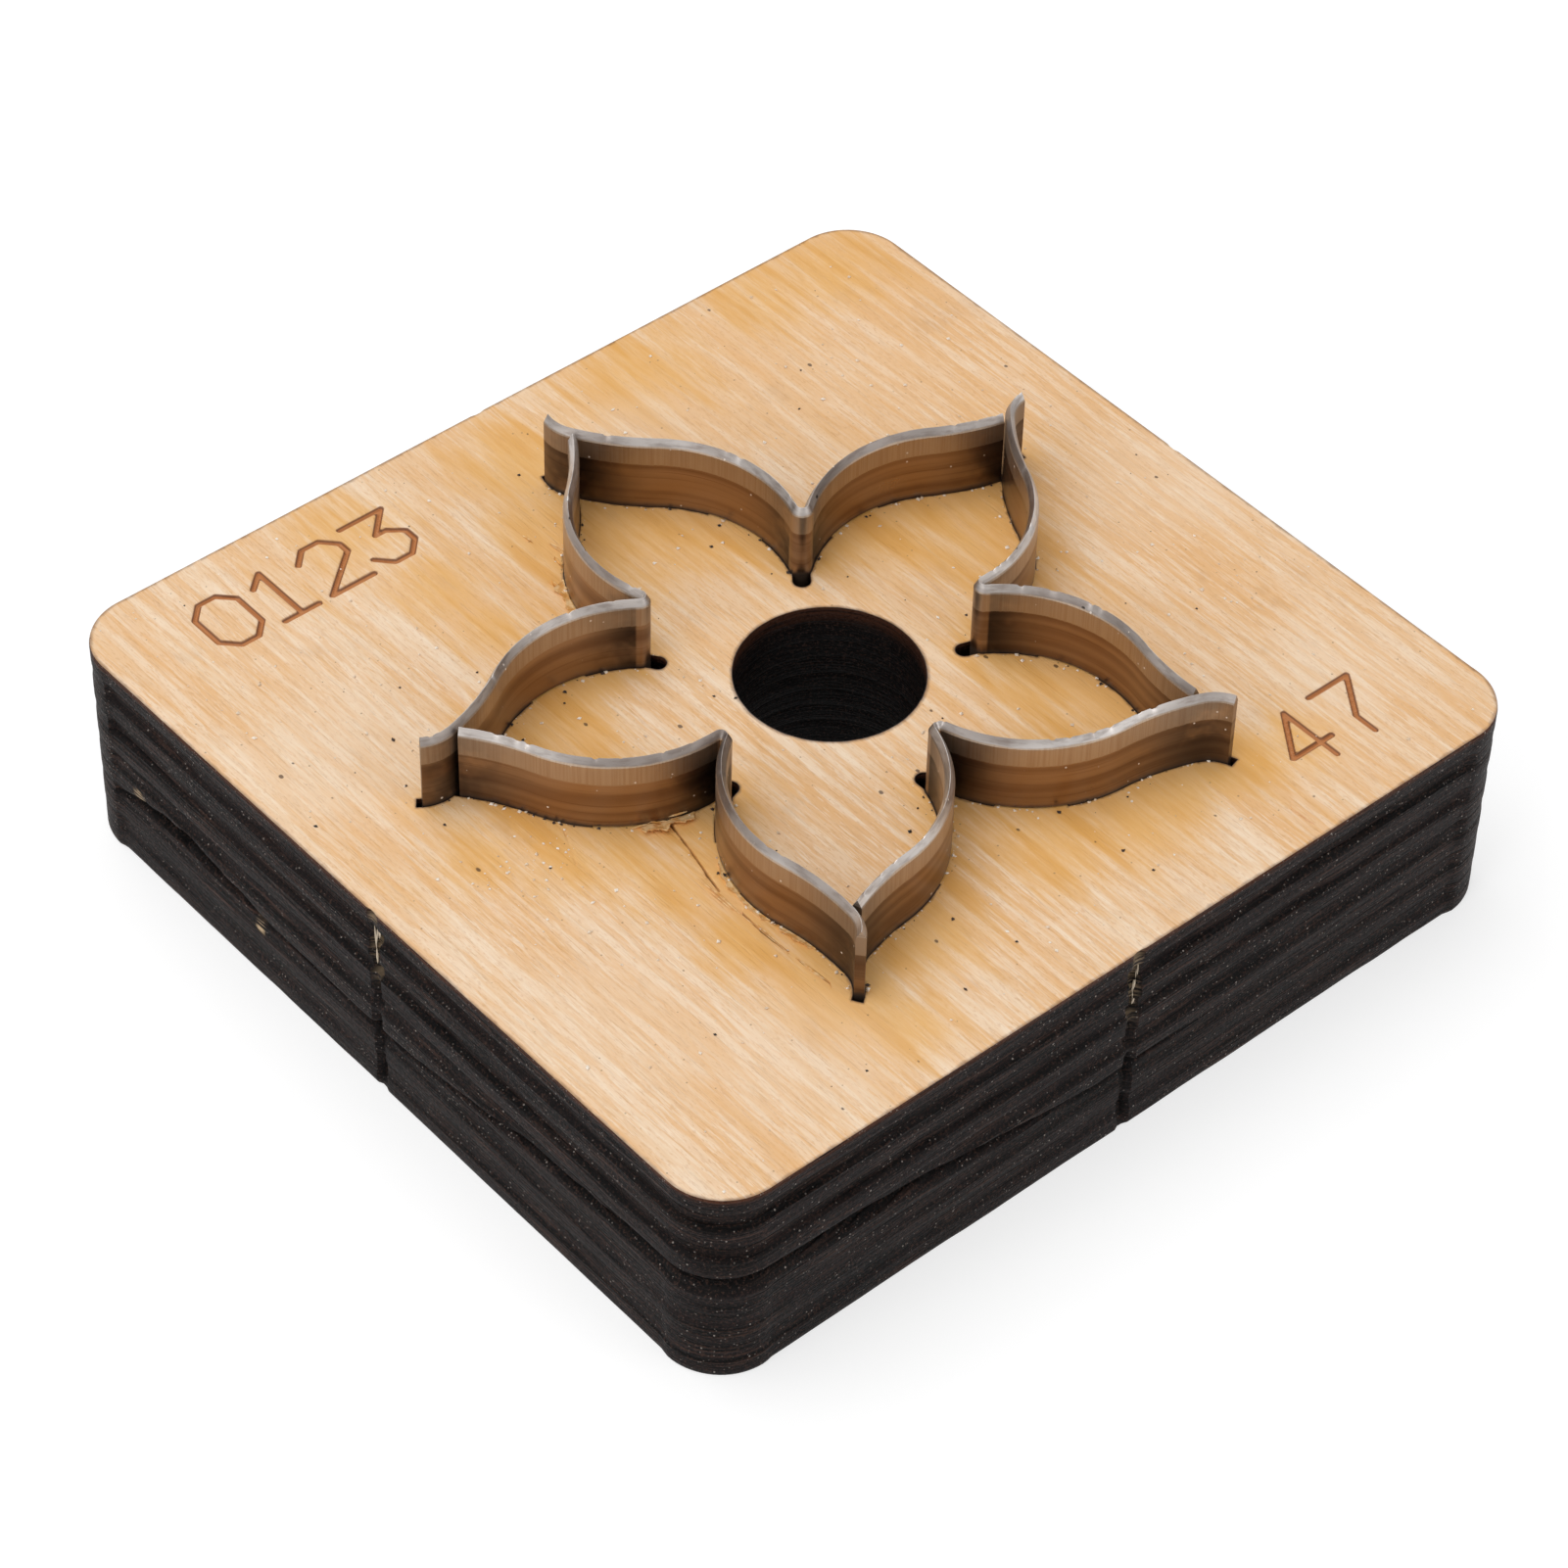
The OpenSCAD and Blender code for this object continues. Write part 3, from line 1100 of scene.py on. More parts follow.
    def build(self, index: int, finish: bpy.types.Material, board_t: float) -> bpy.types.Object:
        """Makes one rule: its section carried along its path, open at the bridge notches, with worn edge.

        Args:
            index: which rule, from 1.
            finish: its material.
            board_t: thickness of the board.

        Returns:
            The rule.
        """
        low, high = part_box(f"cutting_rule_{index}")
        points, normal, run = self.path()
        notch_z = board_t + self.bridge_clearance
        offsets, heights, low_rows = self.section(low[2] / MM, notch_z, high[2] / MM)
        rows = len(offsets)
        across = points[:, None, :] + normal[:, None, :] * offsets[None, :, None]
        level = np.zeros_like(run)
        wear = fractal_noise(run * 0.9 + 40 * index, level, 11 + index, 3)
        nick = smoothstep(0.70, 0.86, fractal_noise(run * 1.7 + 31 * index, level, 71 + index, 2))
        lost = (self.wear_mm * wear + self.nick_mm * nick)[:, None]
        up = heights - lost * bell(heights - heights.max(), self.worn_h)
        flat = self.placed(across.reshape(-1, 2), index).reshape(len(run), rows, 2)
        number = np.arange(len(run) * rows).reshape(len(run), rows)
        notched = self.notched_steps(run)
        keep = np.ones((len(run) - 1, rows - 1), bool)
        keep[notched, : low_rows - 1] = False
        keep[notched, rows - low_rows :] = False
        faces = [
            grid_faces(len(run), rows)[keep.reshape(-1)],
            self.strip(number, 0, -1)[~notched],
            self.strip(number, low_rows - 1, rows - low_rows)[notched],
        ]
        change = np.diff(np.concatenate([[False], notched, [False]]).astype(int))
        for column in np.flatnonzero(change):
            faces.append(self.wall(number[column], low_rows, change[column] < 0))
        faces.append(self.wall(number[0], rows // 2, True))
        faces.append(self.wall(number[-1], rows // 2, False))
        draft = MeshDraft()
        draft.add_sweep(flat, up, run + self.layout_step * index, np.concatenate(faces))
        piece = draft.build(f"steel_rule_{index}", [finish], 24.0)
        self.smudge(piece, index)
        return piece

    def notched_steps(self, run: Array) -> Array:
        """Steps of the run that lie over a bridge of the board, one in the middle of each belly.

        Args:
            run: length along the run from the crease.

        Returns:
            One truth value per step.
        """
        middle = direction(self.flare_at - self.belly_at)
        first = direction(self.crease_at - self.belly_at)
        crease = self.crease_r * (math.pi - direction(self.belly_at - self.crease_at))
        bridge = crease + self.belly_r * (middle - first) / 2
        centre = np.abs((run[1:] + run[:-1]) / 2)
        return np.abs(centre - bridge) < self.bridge_len / 2 + self.bridge_clearance

    @staticmethod
    def strip(number: Array, one: int, other: int) -> Array:
        """Quads all along the run between two of the section's points.

        Args:
            number: point numbers, with a row per step of the run.
            one, other: the two points of the section.

        Returns:
            The quads.
        """
        edges = [number[:-1, one], number[1:, one], number[1:, other], number[:-1, other]]
        return np.stack(edges, axis=1)

    @staticmethod
    def wall(column: Array, rows: int, forward: bool) -> Array:
        """Quads that close the strip across its thickness at one place along the run.

        Args:
            column: point numbers round the section.
            rows: points from the back that are closed.
            forward: which way the wall looks.

        Returns:
            The quads.
        """
        one, other = column[:rows], column[::-1][:rows]
        quads = np.stack([one[:-1], one[1:], other[1:], other[:-1]], axis=1)
        return quads[:, ::-1] if forward else quads

    def smudge(self, piece: bpy.types.Object, index: int) -> None:
        """Stores the painted shade at each point: strongest in the corners at the crease and at the petal
        tips.

        Args:
            piece: the rule.
            index: which rule.
        """
        places = vertex_places(piece)
        own = turned(places[:, :2] - np.array(self.centre), -self.turn_of(index))
        at_crease = bell(np.linalg.norm(own - self.crease_at, axis=1), self.crease_shade_r)
        tips = [self.tip_at, self.tip_at * np.array([1, -1])]
        at_tip = sum(bell(np.linalg.norm(own - tip, axis=1), self.tip_shade_r) for tip in tips)
        inner = np.linalg.norm(own, axis=1) < np.linalg.norm(self.crease_at)
        # Painted shade: full in the narrow corner outside the crease, weaker on its inner side, and at the
        # tips.
        soot = at_crease * np.where(inner, 0.3, 1.0) + 0.8 * at_tip
        set_attribute(piece, "smudge", np.clip(soot, 0, 1))


# The board


@dataclass(frozen=True)
class EngravedLine:
    """A row of digits in straight strokes with cut corners, burnt into the face."""

    digits: str
    corner: tuple[float, float]
    pitch: float
    width: float = 3.7
    height: float = 5.2
    margin: float = 0.6

    def strokes(self) -> tuple[Array, Array]:
        """Ends of all strokes.

        Returns:
            First ends and last ends of the strokes, in the board's frame.
        """
        cut, rise = 0.30, 0.22
        bowl = [(1, 0.42), (1, rise), (1 - cut, 0), (cut, 0), (0, rise)]
        right = [(cut, 0), (1 - cut, 0), (1, rise), (1, 1 - rise)]
        left = [(1 - cut, 1), (cut, 1), (0, 1 - rise), (0, rise), (cut, 0)]
        shapes = {
            "0": [[*right, *left]],
            "1": [[(0.15, 0.78), (0.5, 1), (0.5, 0)], [(0.1, 0), (0.9, 0)]],
            "2": [[(0, 1 - rise), (cut, 1), (1 - cut, 1), (1, 1 - rise), (1, 0.6), (0, 0), (1, 0)]],
            "3": [[(0, 1), (1, 1), (0.45, 0.6), (1 - cut, 0.6), *bowl]],
            "4": [[(0.72, 0), (0.72, 1), (0, 0.3), (1, 0.3)]],
            "7": [[(0, 1), (1, 1), (0.35, 0.35), (0.35, 0)]],
        }
        starts, ends = [], []
        for place, digit in enumerate(self.digits):
            for line in shapes[digit]:
                corners = np.array(line) * np.array([self.width, self.height]) + np.array(self.corner)
                corners[:, 0] += place * self.pitch
                starts.append(corners[:-1])
                ends.append(corners[1:])
        return np.concatenate(starts), np.concatenate(ends)

    def fine_points(self, spacing: float) -> Array:
        """A fine grid of points over the row, for the mesh of the face.

        Args:
            spacing: step of the grid.

        Returns:
            The points.
        """
        corner = np.array(self.corner)
        length = self.pitch * (len(self.digits) - 1) + self.width
        far = corner + [length + self.margin, self.height + self.margin]
        return flat_grid(corner - self.margin, far, spacing)


@dataclass(frozen=True)
class Split:
    """A crack in the face: its corners, and by how much it is closed, in millimetres."""

    corners: tuple[tuple[float, float], ...]
    closed: float


@dataclass(frozen=True)
class Outline:
    """The board's rounded rectangle at even steps, with a closing point.

    Holds the points, the outward normals, the length along the outline, the depth into a straight stretch,
    which is 0 on the corner arcs, and the distance to the middle of that stretch, which is endless on them.
    """

    points: Array
    normal: Array
    run: Array
    depth: Array
    middle: Array


@dataclass
class PlywoodBoard:
    """The die board: burnt veneer edges swept round the outline, and a face pierced by kerfs and the hole.

    Pools, pale places, the bare petal and the side chips are places with a radius. The two groove lines give
    the deep groove's height at some places along the left side and along the front side.
    """

    rules: CuttingRules
    corner_r: float = 4.7
    plies: int = 11
    ply_inset: float = 0.22
    side_taper: float = 0.1
    groove_ply: int = 5
    groove_depth: float = 0.9
    groove_h: float = 0.7
    corner_step: float = 0.15
    snap_depth: float = 1.1
    snap_w: float = 1.2
    wave_mm: float = 0.14
    ridge_mm: float = 0.12
    edge_round: float = 0.06
    hole_char: float = 0.15
    stroke_depth: float = 0.26
    split_depth: float = 0.35
    lip_depth: float = 0.05
    grain_depth: float = 0.02
    around: int = 700
    rows: int = 84
    face_spacing: float = 0.6
    face_jitter: float = 0.12
    fine_spacing: float = 0.15
    split_spacing: float = 0.12
    back_spacing: float = 1.3
    hole_points: int = 160
    hole_rows: int = 26
    hole_layout: float = 400.0
    kerf_layout: float = 500.0
    side_from: tuple[float, float] = (34.0, 33.0)
    groove_left: tuple[tuple[float, ...], tuple[float, ...]] = (
        (-33.0, -14.0, 0.0, 13.0, 22.0, 27.0, 33.0),
        (9.2, 7.6, 5.6, 5.7, 6.8, 6.3, 5.4),
    )
    groove_front: tuple[tuple[float, ...], tuple[float, ...]] = (
        (-33.0, -14.0, -3.0, 10.0, 33.0),
        (9.2, 7.4, 6.0, 6.6, 8.0),
    )
    lines: tuple[EngravedLine, ...] = (
        EngravedLine("0123", (-29.2, 26.4), 4.53),
        EngravedLine("47", (20.8, -30.4), 5.1),
    )
    splits: tuple[Split, ...] = (
        Split(((-16.3, -6.3), (-16.9, -9.2), (-17.9, -13.4)), 0.0),
        Split(((-18.0, -15.8), (-18.1, -17.6), (-18.0, -20.4)), 0.02),
        Split(((-17.9, -21.6), (-17.7, -24.4)), 0.03),
        Split(((-22.4, -2.6), (-23.6, -5.2)), 0.07),
        Split(((-5.6, 19.4), (-5.9, 17.2)), 0.03),
        Split(((-7.4, 17.4), (-7.3, 15.0)), 0.03),
        Split(((17.2, -32.2), (17.3, -34.0)), 0.04),
    )
    pools: tuple[Triple, ...] = (
        (-13.8, 22.1, 5.0), (-1.5, 29.7, 6.0), (12.0, 31.5, 7.0), (25.0, 32.5, 6.0), (-5.0, 23.0, 5.0),
        (-13.6, 16.7, 4.0), (-28.5, -1.0, 4.0), (-24.0, -5.0, 4.5), (-20.2, -10.7, 4.5), (-20.0, -18.0, 3.5),
        (-10.0, -25.8, 4.5), (2.1, -25.2, 5.0), (12.1, -26.2, 4.0), (2.0, 18.0, 5.0), (18.0, 2.0, 6.0),
        (-15.4, 7.9, 5.0), (12.3, -13.0, 5.0), (-15.5, 31.0, 5.5), (-16.5, -24.5, 5.5), (-16.0, -31.0, 4.0),
        (8.0, -27.0, 5.0), (16.0, -25.0, 5.0), (22.0, -27.5, 4.0), (31.0, 31.0, 6.0), (-15.0, -6.0, 4.0),
        (-21.5, -7.5, 4.0),
    )
    bare_petal: Triple = (-10.5, -17.5, 9.0)
    side_chips: tuple[Triple, ...] = ((27.6, 7.2, 0.5), (13.7, 5.0, 0.5))
    pale_places: tuple[Triple, ...] = (
        (-32.0, -19.0, 9.0), (-30.0, 14.0, 8.0), (33.0, -2.0, 7.0),
        (30.0, -24.0, 6.0), (8.0, 26.0, 5.0), (-24.0, -28.0, 7.0),
    )

    def __post_init__(self) -> None:
        """Reads the board's size, its cut-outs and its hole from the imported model."""
        low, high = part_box("die_board")
        self.width, self.depth = ((high[i] - low[i]) / MM for i in (0, 1))
        self.base_z, self.top_z = low[2] / MM, high[2] / MM
        hole = next(m for m in frame["record"]["mounts"] if m["name"] == "knock_out_hole")
        self.hole_at = np.array(hole["pos_m"][:2]) / MM
        self.hole_r = hole["dims"]["r_mm"]
        loops = outline_loops(frame["nodes"]["die_board"], self.top_z)[1:]
        self.kerfs = [k for k in loops if np.linalg.norm(k.mean(0) - self.hole_at) > self.hole_r / 2]

    def outline(self) -> Outline:
        """Rounded rectangle at even steps, anticlockwise from the lower end of the right side.

        Returns:
            The outline.
        """
        half = np.array([self.width, self.depth]) / 2 - self.corner_r
        quarter = self.corner_r * math.pi / 2
        lengths = np.array([2 * half[1], quarter, 2 * half[0], quarter] * 2)
        ends = np.concatenate([[0.0], np.cumsum(lengths)])
        run = np.linspace(0.0, ends[-1], self.around + 1)
        piece = np.clip(np.searchsorted(ends, run, side="right") - 1, 0, 7)
        local = run - ends[piece]
        left = lengths[piece] - local
        straight = piece % 2 == 0
        angle = piece // 2 * math.pi / 2 + np.where(straight, 0.0, local / self.corner_r)
        normal = unit(angle)
        along = np.stack([-normal[:, 1], normal[:, 0]], axis=1)
        corner = half * np.array([[1, 1], [-1, 1], [-1, -1], [1, -1]])[piece // 2]
        points = corner + self.corner_r * normal - along * np.where(straight, left, 0.0)[:, None]
        points[-1], normal[-1] = points[0], normal[0]
        depth = np.where(straight, np.minimum(local, left), 0.0)
        return Outline(points, normal, run, depth, np.where(straight, np.abs(local - left) / 2, np.inf))

    def groove_middle(self, x: Array, y: Array) -> Array:
        """Height of the deep groove: level on two sides, and along its own line on the left and front sides.

        Args:
            x, y: places on the outline.

        Returns:
            The heights above the base.
        """
        level = self.groove_ply * (self.top_z - self.base_z) / self.plies + self.groove_h / 2
        left = smoothstep(-self.width / 2 + 3.0, -self.width / 2 + 0.3, x)
        front = smoothstep(-self.depth / 2 + 3.0, -self.depth / 2 + 0.3, y)
        on_left = np.interp(y, *self.groove_left)
        on_front = np.interp(x, *self.groove_front)
        total = np.maximum(left + front, 1e-6)
        return level + np.minimum(total, 1.0) * ((left * on_left + front * on_front) / total - level)

    def veneer_inset(self, lap: Array, height: Array) -> Array:
        """How far the veneers lie back: every second one by a noise of its own, and all by waves and ridges.

        Args:
            lap: places on the outline, as a share of its length.
            height: heights above the base.

        Returns:
            The inset, with a row per place on the outline and a column per height.
        """
        ply_t = (self.top_z - self.base_z) / self.plies
        groove_z = self.groove_ply * ply_t
        ply = np.clip(np.floor(height / ply_t), 0, self.plies - 1)
        within = height / ply_t - ply
        own = fractal_noise(lap * 48, ply * 7.3 + 0.5, 5, 3, 48)
        waves = fractal_noise(lap * 60, height * 1.1, 9, 3, 60)
        ridges = fractal_noise(lap * 26, height * 2.4, 15, 2, 26)
        crown = smoothstep(0.0, 0.12, within) * smoothstep(1.0, 0.88, within)
        upper = 0.35 + 0.65 * smoothstep(groove_z - 0.5, groove_z + 1.5, height)
        steps = (ply % 2) * self.ply_inset * (0.7 + 1.9 * own) * crown * upper
        return steps + self.wave_mm * waves * (0.3 + 0.7 * own) + self.ridge_mm * ridges * upper

    def groove_inset(self, outline: Outline, lap: Array, height: Array) -> tuple[Array, Array]:
        """The deep groove: a bell curve about its middle, which wanders, gapes and frays along the sides.

        Args:
            outline: the board's outline.
            lap: places on the outline, as a share of its length.
            height: heights above the base.

        Returns:
            The inset, and a share that is 1 below the groove and 0 above its middle.
        """
        x, y = outline.points[:, :1], outline.points[:, 1:]
        front = smoothstep(-5.0, -14.0, x) * smoothstep(-30.0, -33.5, y)
        on_left = x < -self.width / 2 + 1.0
        frayed = bell(y - 21.5, 6.5) * on_left
        slow = fractal_noise(lap * 12, np.full_like(lap, 0.5), 21, 2, 12) - 0.5
        quick = fractal_noise(lap * 90, np.full_like(lap, 2.5), 27, 2, 90) - 0.5
        middle = self.groove_middle(x, y) + slow * (0.7 - 0.5 * front) + quick * 1.4 * frayed
        gape = 0.15 + 0.6 * smoothstep(-0.1, 0.2, slow) + front + 0.45 * on_left + frayed
        gape = np.clip(gape, 0.0, 1.35) + 0.5 * frayed
        half = self.groove_h * (0.34 + 0.14 * front + 0.75 * frayed)
        shape = np.exp(-(np.abs((height - middle) / half) ** (2.0 + 3.0 * frayed)))
        return shape * self.groove_depth * gape, smoothstep(middle, middle - 0.5, height)

    def side_inset(self, outline: Outline, height: Array) -> Array:
        """How far the burnt side lies behind the outline: taper, veneers, groove, corner step and notches.

        Args:
            outline: the board's outline.
            height: heights above the base.

        Returns:
            The inset, with a row per place on the outline and a column per height.
        """
        total = self.top_z - self.base_z
        lap, depth = outline.run[:, None] / outline.run[-1], outline.depth[:, None]
        cross = outline.points.prod(1)[:, None] < 0
        calm = 1.0 - 0.85 * smoothstep(0.5, 0.0, depth) * cross
        groove, below = self.groove_inset(outline, lap, height)
        inset = self.side_taper * 0.6 * (1.0 - height / total)
        inset = inset + calm * (self.veneer_inset(lap, height) + groove)
        inset = inset + self.corner_step * 0.8 * below * smoothstep(0.0, 0.8, depth)
        jag = (fractal_noise(height * 0.9, np.zeros_like(height), 41, 2) - 0.5) * 0.5
        notch = np.clip(1.0 - np.abs(outline.middle[:, None] + jag) / (self.snap_w * 0.42), 0.0, 1.0)
        inset = inset + notch * self.snap_depth * 0.7
        inset = inset * (1.0 - 0.85 * smoothstep(total - 0.4, total, height))
        edges = smoothstep(total - 0.22, total, height) + smoothstep(0.25, 0.0, height)
        return inset + self.edge_round * edges

    def sides(self, draft: MeshDraft) -> tuple[Array, Array]:
        """Adds the swept sides to a draft.

        Args:
            draft: the board's mesh draft.

        Returns:
            The upper and lower rings of the sides, without the closing point.
        """
        outline = self.outline()
        height = np.linspace(0.0, self.top_z - self.base_z, self.rows)
        inset = self.side_inset(outline, height[None, :])
        inset[-1] = inset[0]
        flat = outline.points[:, None, :] - outline.normal[:, None, :] * inset[:, :, None]
        faces = grid_faces(len(inset), self.rows)[:, ::-1]
        draft.add_sweep(flat, height + self.base_z, outline.run, faces, BoardPart.CHAR)
        return flat[:-1, -1], flat[:-1, 0]

    def hole_wall(self, draft: MeshDraft) -> Array:
        """Adds the burnt wall of the hole: a cylinder pushed outwards by ring-shaped char marks.

        Args:
            draft: the board's mesh draft.

        Returns:
            The ring of the hole, which is the same on both faces.
        """
        angle = np.linspace(0.0, 2 * math.pi, self.hole_points + 1)
        height = np.linspace(self.base_z, self.top_z, self.hole_rows)
        ring = unit(angle)
        ring[-1] = ring[0]
        turns = 24
        marks = fractal_noise(angle[:, None] / (2 * math.pi) * turns, height[None] * 0.8, 51, 3, turns)
        marks[-1] = marks[0]
        fade = smoothstep(0.0, 0.6, height - self.base_z) * smoothstep(0.0, 0.6, self.top_z - height)
        radius = self.hole_r + self.hole_char * marks * fade[None]
        flat = self.hole_at + radius[:, :, None] * ring[:, None, :]
        faces = grid_faces(len(angle), len(height))
        draft.add_sweep(flat, height, angle * self.hole_r + self.hole_layout, faces, BoardPart.CHAR)
        return self.hole_at + self.hole_r * ring[:-1]

    def kerf_walls(self, draft: MeshDraft) -> None:
        """Adds the upright walls of the kerfs and relief slots.

        Args:
            draft: the board's mesh draft.
        """
        height = np.array([self.base_z, (self.base_z + self.top_z) / 2, self.top_z])
        for loop in self.kerfs:
            closed = np.concatenate([loop, loop[:1]])
            area = np.cross(closed[:-1], closed[1:]).sum()
            closed = closed if area > 0 else closed[::-1]
            flat = np.repeat(closed[:, None], len(height), axis=1)
            faces = grid_faces(len(closed), len(height))
            draft.add_sweep(flat, height, length_along(closed) + self.kerf_layout, faces, BoardPart.CHAR)

    def face_points(self, ring: Array) -> Array:
        """Points inside the face: a plain grid, finer over the digits, the splits and along every cut.

        Args:
            ring: upper ring of the sides.

        Returns:
            The points.
        """
        span = np.array([self.width, self.depth]) / 2 - 0.5
        plain = flat_grid(-span, span, self.face_spacing)
        plain += np.random.default_rng(3).uniform(-self.face_jitter, self.face_jitter, plain.shape)
        fine = [line.fine_points(self.fine_spacing) for line in self.lines]
        for split in self.splits:
            corners = np.array(split.corners)
            for a, b in zip(corners[:-1], corners[1:]):
                length = np.linalg.norm(b - a)
                side = turned((b - a)[None] / length, math.pi / 2)[0]
                t = np.linspace(0.0, 1.0, int(length / self.split_spacing) + 2)
                fine += [a + t[:, None] * (b - a) + side * d for d in (-0.22, -0.1, -0.04, 0.04, 0.1, 0.22)]
        points, normal, _ = self.rules.path()
        for i in range(self.rules.petals):
            for d in (0.5, 0.66, 0.95):
                fine += [self.rules.placed((points + normal * s * d)[::2], i + 1) for s in (1, -1)]
        circle = unit(np.linspace(0.0, 2 * math.pi, self.hole_points, endpoint=False))
        fine += [self.hole_at + circle * (self.hole_r + d) for d in (0.12, 0.3, 0.6)]
        fine += [ring * (1.0 - d / (self.width / 2)) for d in (0.12, 0.35)]
        for line in self.lines:
            box = line.fine_points(2.0)
            over = ((plain > box.min(0)) & (plain < box.max(0) + 1.2)).all(1)
            plain = plain[~over]
        return np.concatenate([plain, *fine])

    def back_points(self) -> Array:
        """Points inside the under face: a plain grid, so that the smoke fades away from the cuts."""
        span = np.array([self.width, self.depth]) / 2 - 0.9
        return flat_grid(-span, span, self.back_spacing)

    def pierced_face(self, ring: Array, hole: Array, inner: Array) -> tuple[Array, Array]:
        """Triangles between an outline and the cut-outs, by a Delaunay mesh that keeps their edges.

        Args:
            ring: the outer outline.
            hole: the ring of the hole.
            inner: further points inside.

        Returns:
            Flat points and triangles, anticlockwise.
        """
        loops = [ring, hole, *self.kerfs]
        edges, count = [], 0
        for loop in loops:
            number = np.arange(len(loop))
            edges.append(np.stack([number, np.roll(number, -1)], axis=1) + count)
            count += len(loop)
        points = np.concatenate([*loops, inner])
        corners = [Vector(p) for p in points.tolist()]
        result = delaunay_2d_cdt(corners, np.concatenate(edges).tolist(), [], 0, 1e-6)
        flat, triangles = np.array([tuple(p) for p in result[0]]), np.array(result[2])
        flat[:count] = points[:count]
        middle = flat[triangles].mean(1)
        keep = inside_loop(middle, ring)
        for loop in loops[1:]:
            keep &= ~inside_loop(middle, loop)
        triangles = triangles[keep]
        a, b, c = (flat[triangles[:, i]] for i in range(3))
        area = (b - a)[:, 0] * (c - a)[:, 1] - (b - a)[:, 1] * (c - a)[:, 0]
        return flat, np.where((area < 0)[:, None], triangles[:, ::-1], triangles)

    def rim_distance(self, flat: Array) -> Array:
        """Distance of each flat point to the outline, by the formula for a rounded rectangle.

        Args:
            flat: places on the face.

        Returns:
            The distances, above 0 inside.
        """
        over = np.abs(flat) - (np.array([self.width, self.depth]) / 2 - self.corner_r)
        outside = np.linalg.norm(np.maximum(over, 0.0), axis=1)
        return self.corner_r - outside - np.minimum(over.max(1), 0.0)

    def stroke_distance(self, flat: Array) -> Array:
        """Distance of each flat point to the engraved strokes."""
        starts, ends = map(np.concatenate, zip(*(line.strokes() for line in self.lines)))
        return distance_to_segments(flat, starts, ends)

    def split_distance(self, flat: Array) -> Array:
        """Distance of each flat point to the splits along the grain.

        Args:
            flat: places on the face.

        Returns:
            The distances, with some wander.
        """
        wander = (fractal_noise(flat[:, 0] * 1.2, flat[:, 1] * 1.2, 61, 2) - 0.5) * 0.08
        best = np.full(len(flat), np.inf)
        for split in self.splits:
            corners = np.array(split.corners)
            best = np.minimum(best, distance_to_segments(flat, corners[:-1], corners[1:]) + split.closed)
        return np.maximum(best + wander, 0.0)

    def face_height(self, flat: Array) -> Array:
        """Height of the face: flat, with grooved strokes, open splits, sunken kerf lips and faint grain.

        Args:
            flat: places on the face.

        Returns:
            The heights.
        """
        near = distance_to_points(flat, self.rules.all_centrelines())
        lip = np.exp(-np.maximum(near - 0.36, 0.0) / 0.22)
        grain = fractal_noise(flat[:, 0] * 1.6, flat[:, 1] * 0.12, 81, 3)
        sunk = self.stroke_depth * (1.0 - smoothstep(0.10, 0.27, self.stroke_distance(flat)))
        sunk += self.split_depth * (1.0 - smoothstep(0.02, 0.12, self.split_distance(flat)))
        inner = smoothstep(0.0, 0.5, self.rim_distance(flat))
        return self.top_z - sunk - self.lip_depth * lip * grain - self.grain_depth * grain * inner

    def build(self, finishes: Sequence[bpy.types.Material]) -> bpy.types.Object:
        """Makes the board as one closed mesh.

        Args:
            finishes: materials of the face, the burnt edges and the back.

        Returns:
            The board.
        """
        draft = MeshDraft()
        upper, lower = self.sides(draft)
        hole = self.hole_wall(draft)
        self.kerf_walls(draft)
        flat, triangles = self.pierced_face(upper, hole, self.face_points(upper))
        border = np.concatenate([upper, hole, *self.kerfs])
        height = self.face_height(flat)
        height[: len(border)] = self.top_z
        draft.add(np.column_stack([flat, height]), triangles, BoardPart.FACE)
        flat, triangles = self.pierced_face(lower, hole, self.back_points())
        level = np.full(len(flat), self.base_z)
        draft.add(np.column_stack([flat, level]), triangles[:, ::-1], BoardPart.BACK)
        piece = draft.build("plywood_board", finishes, 40.0)
        self.store_marks(piece)
        return piece

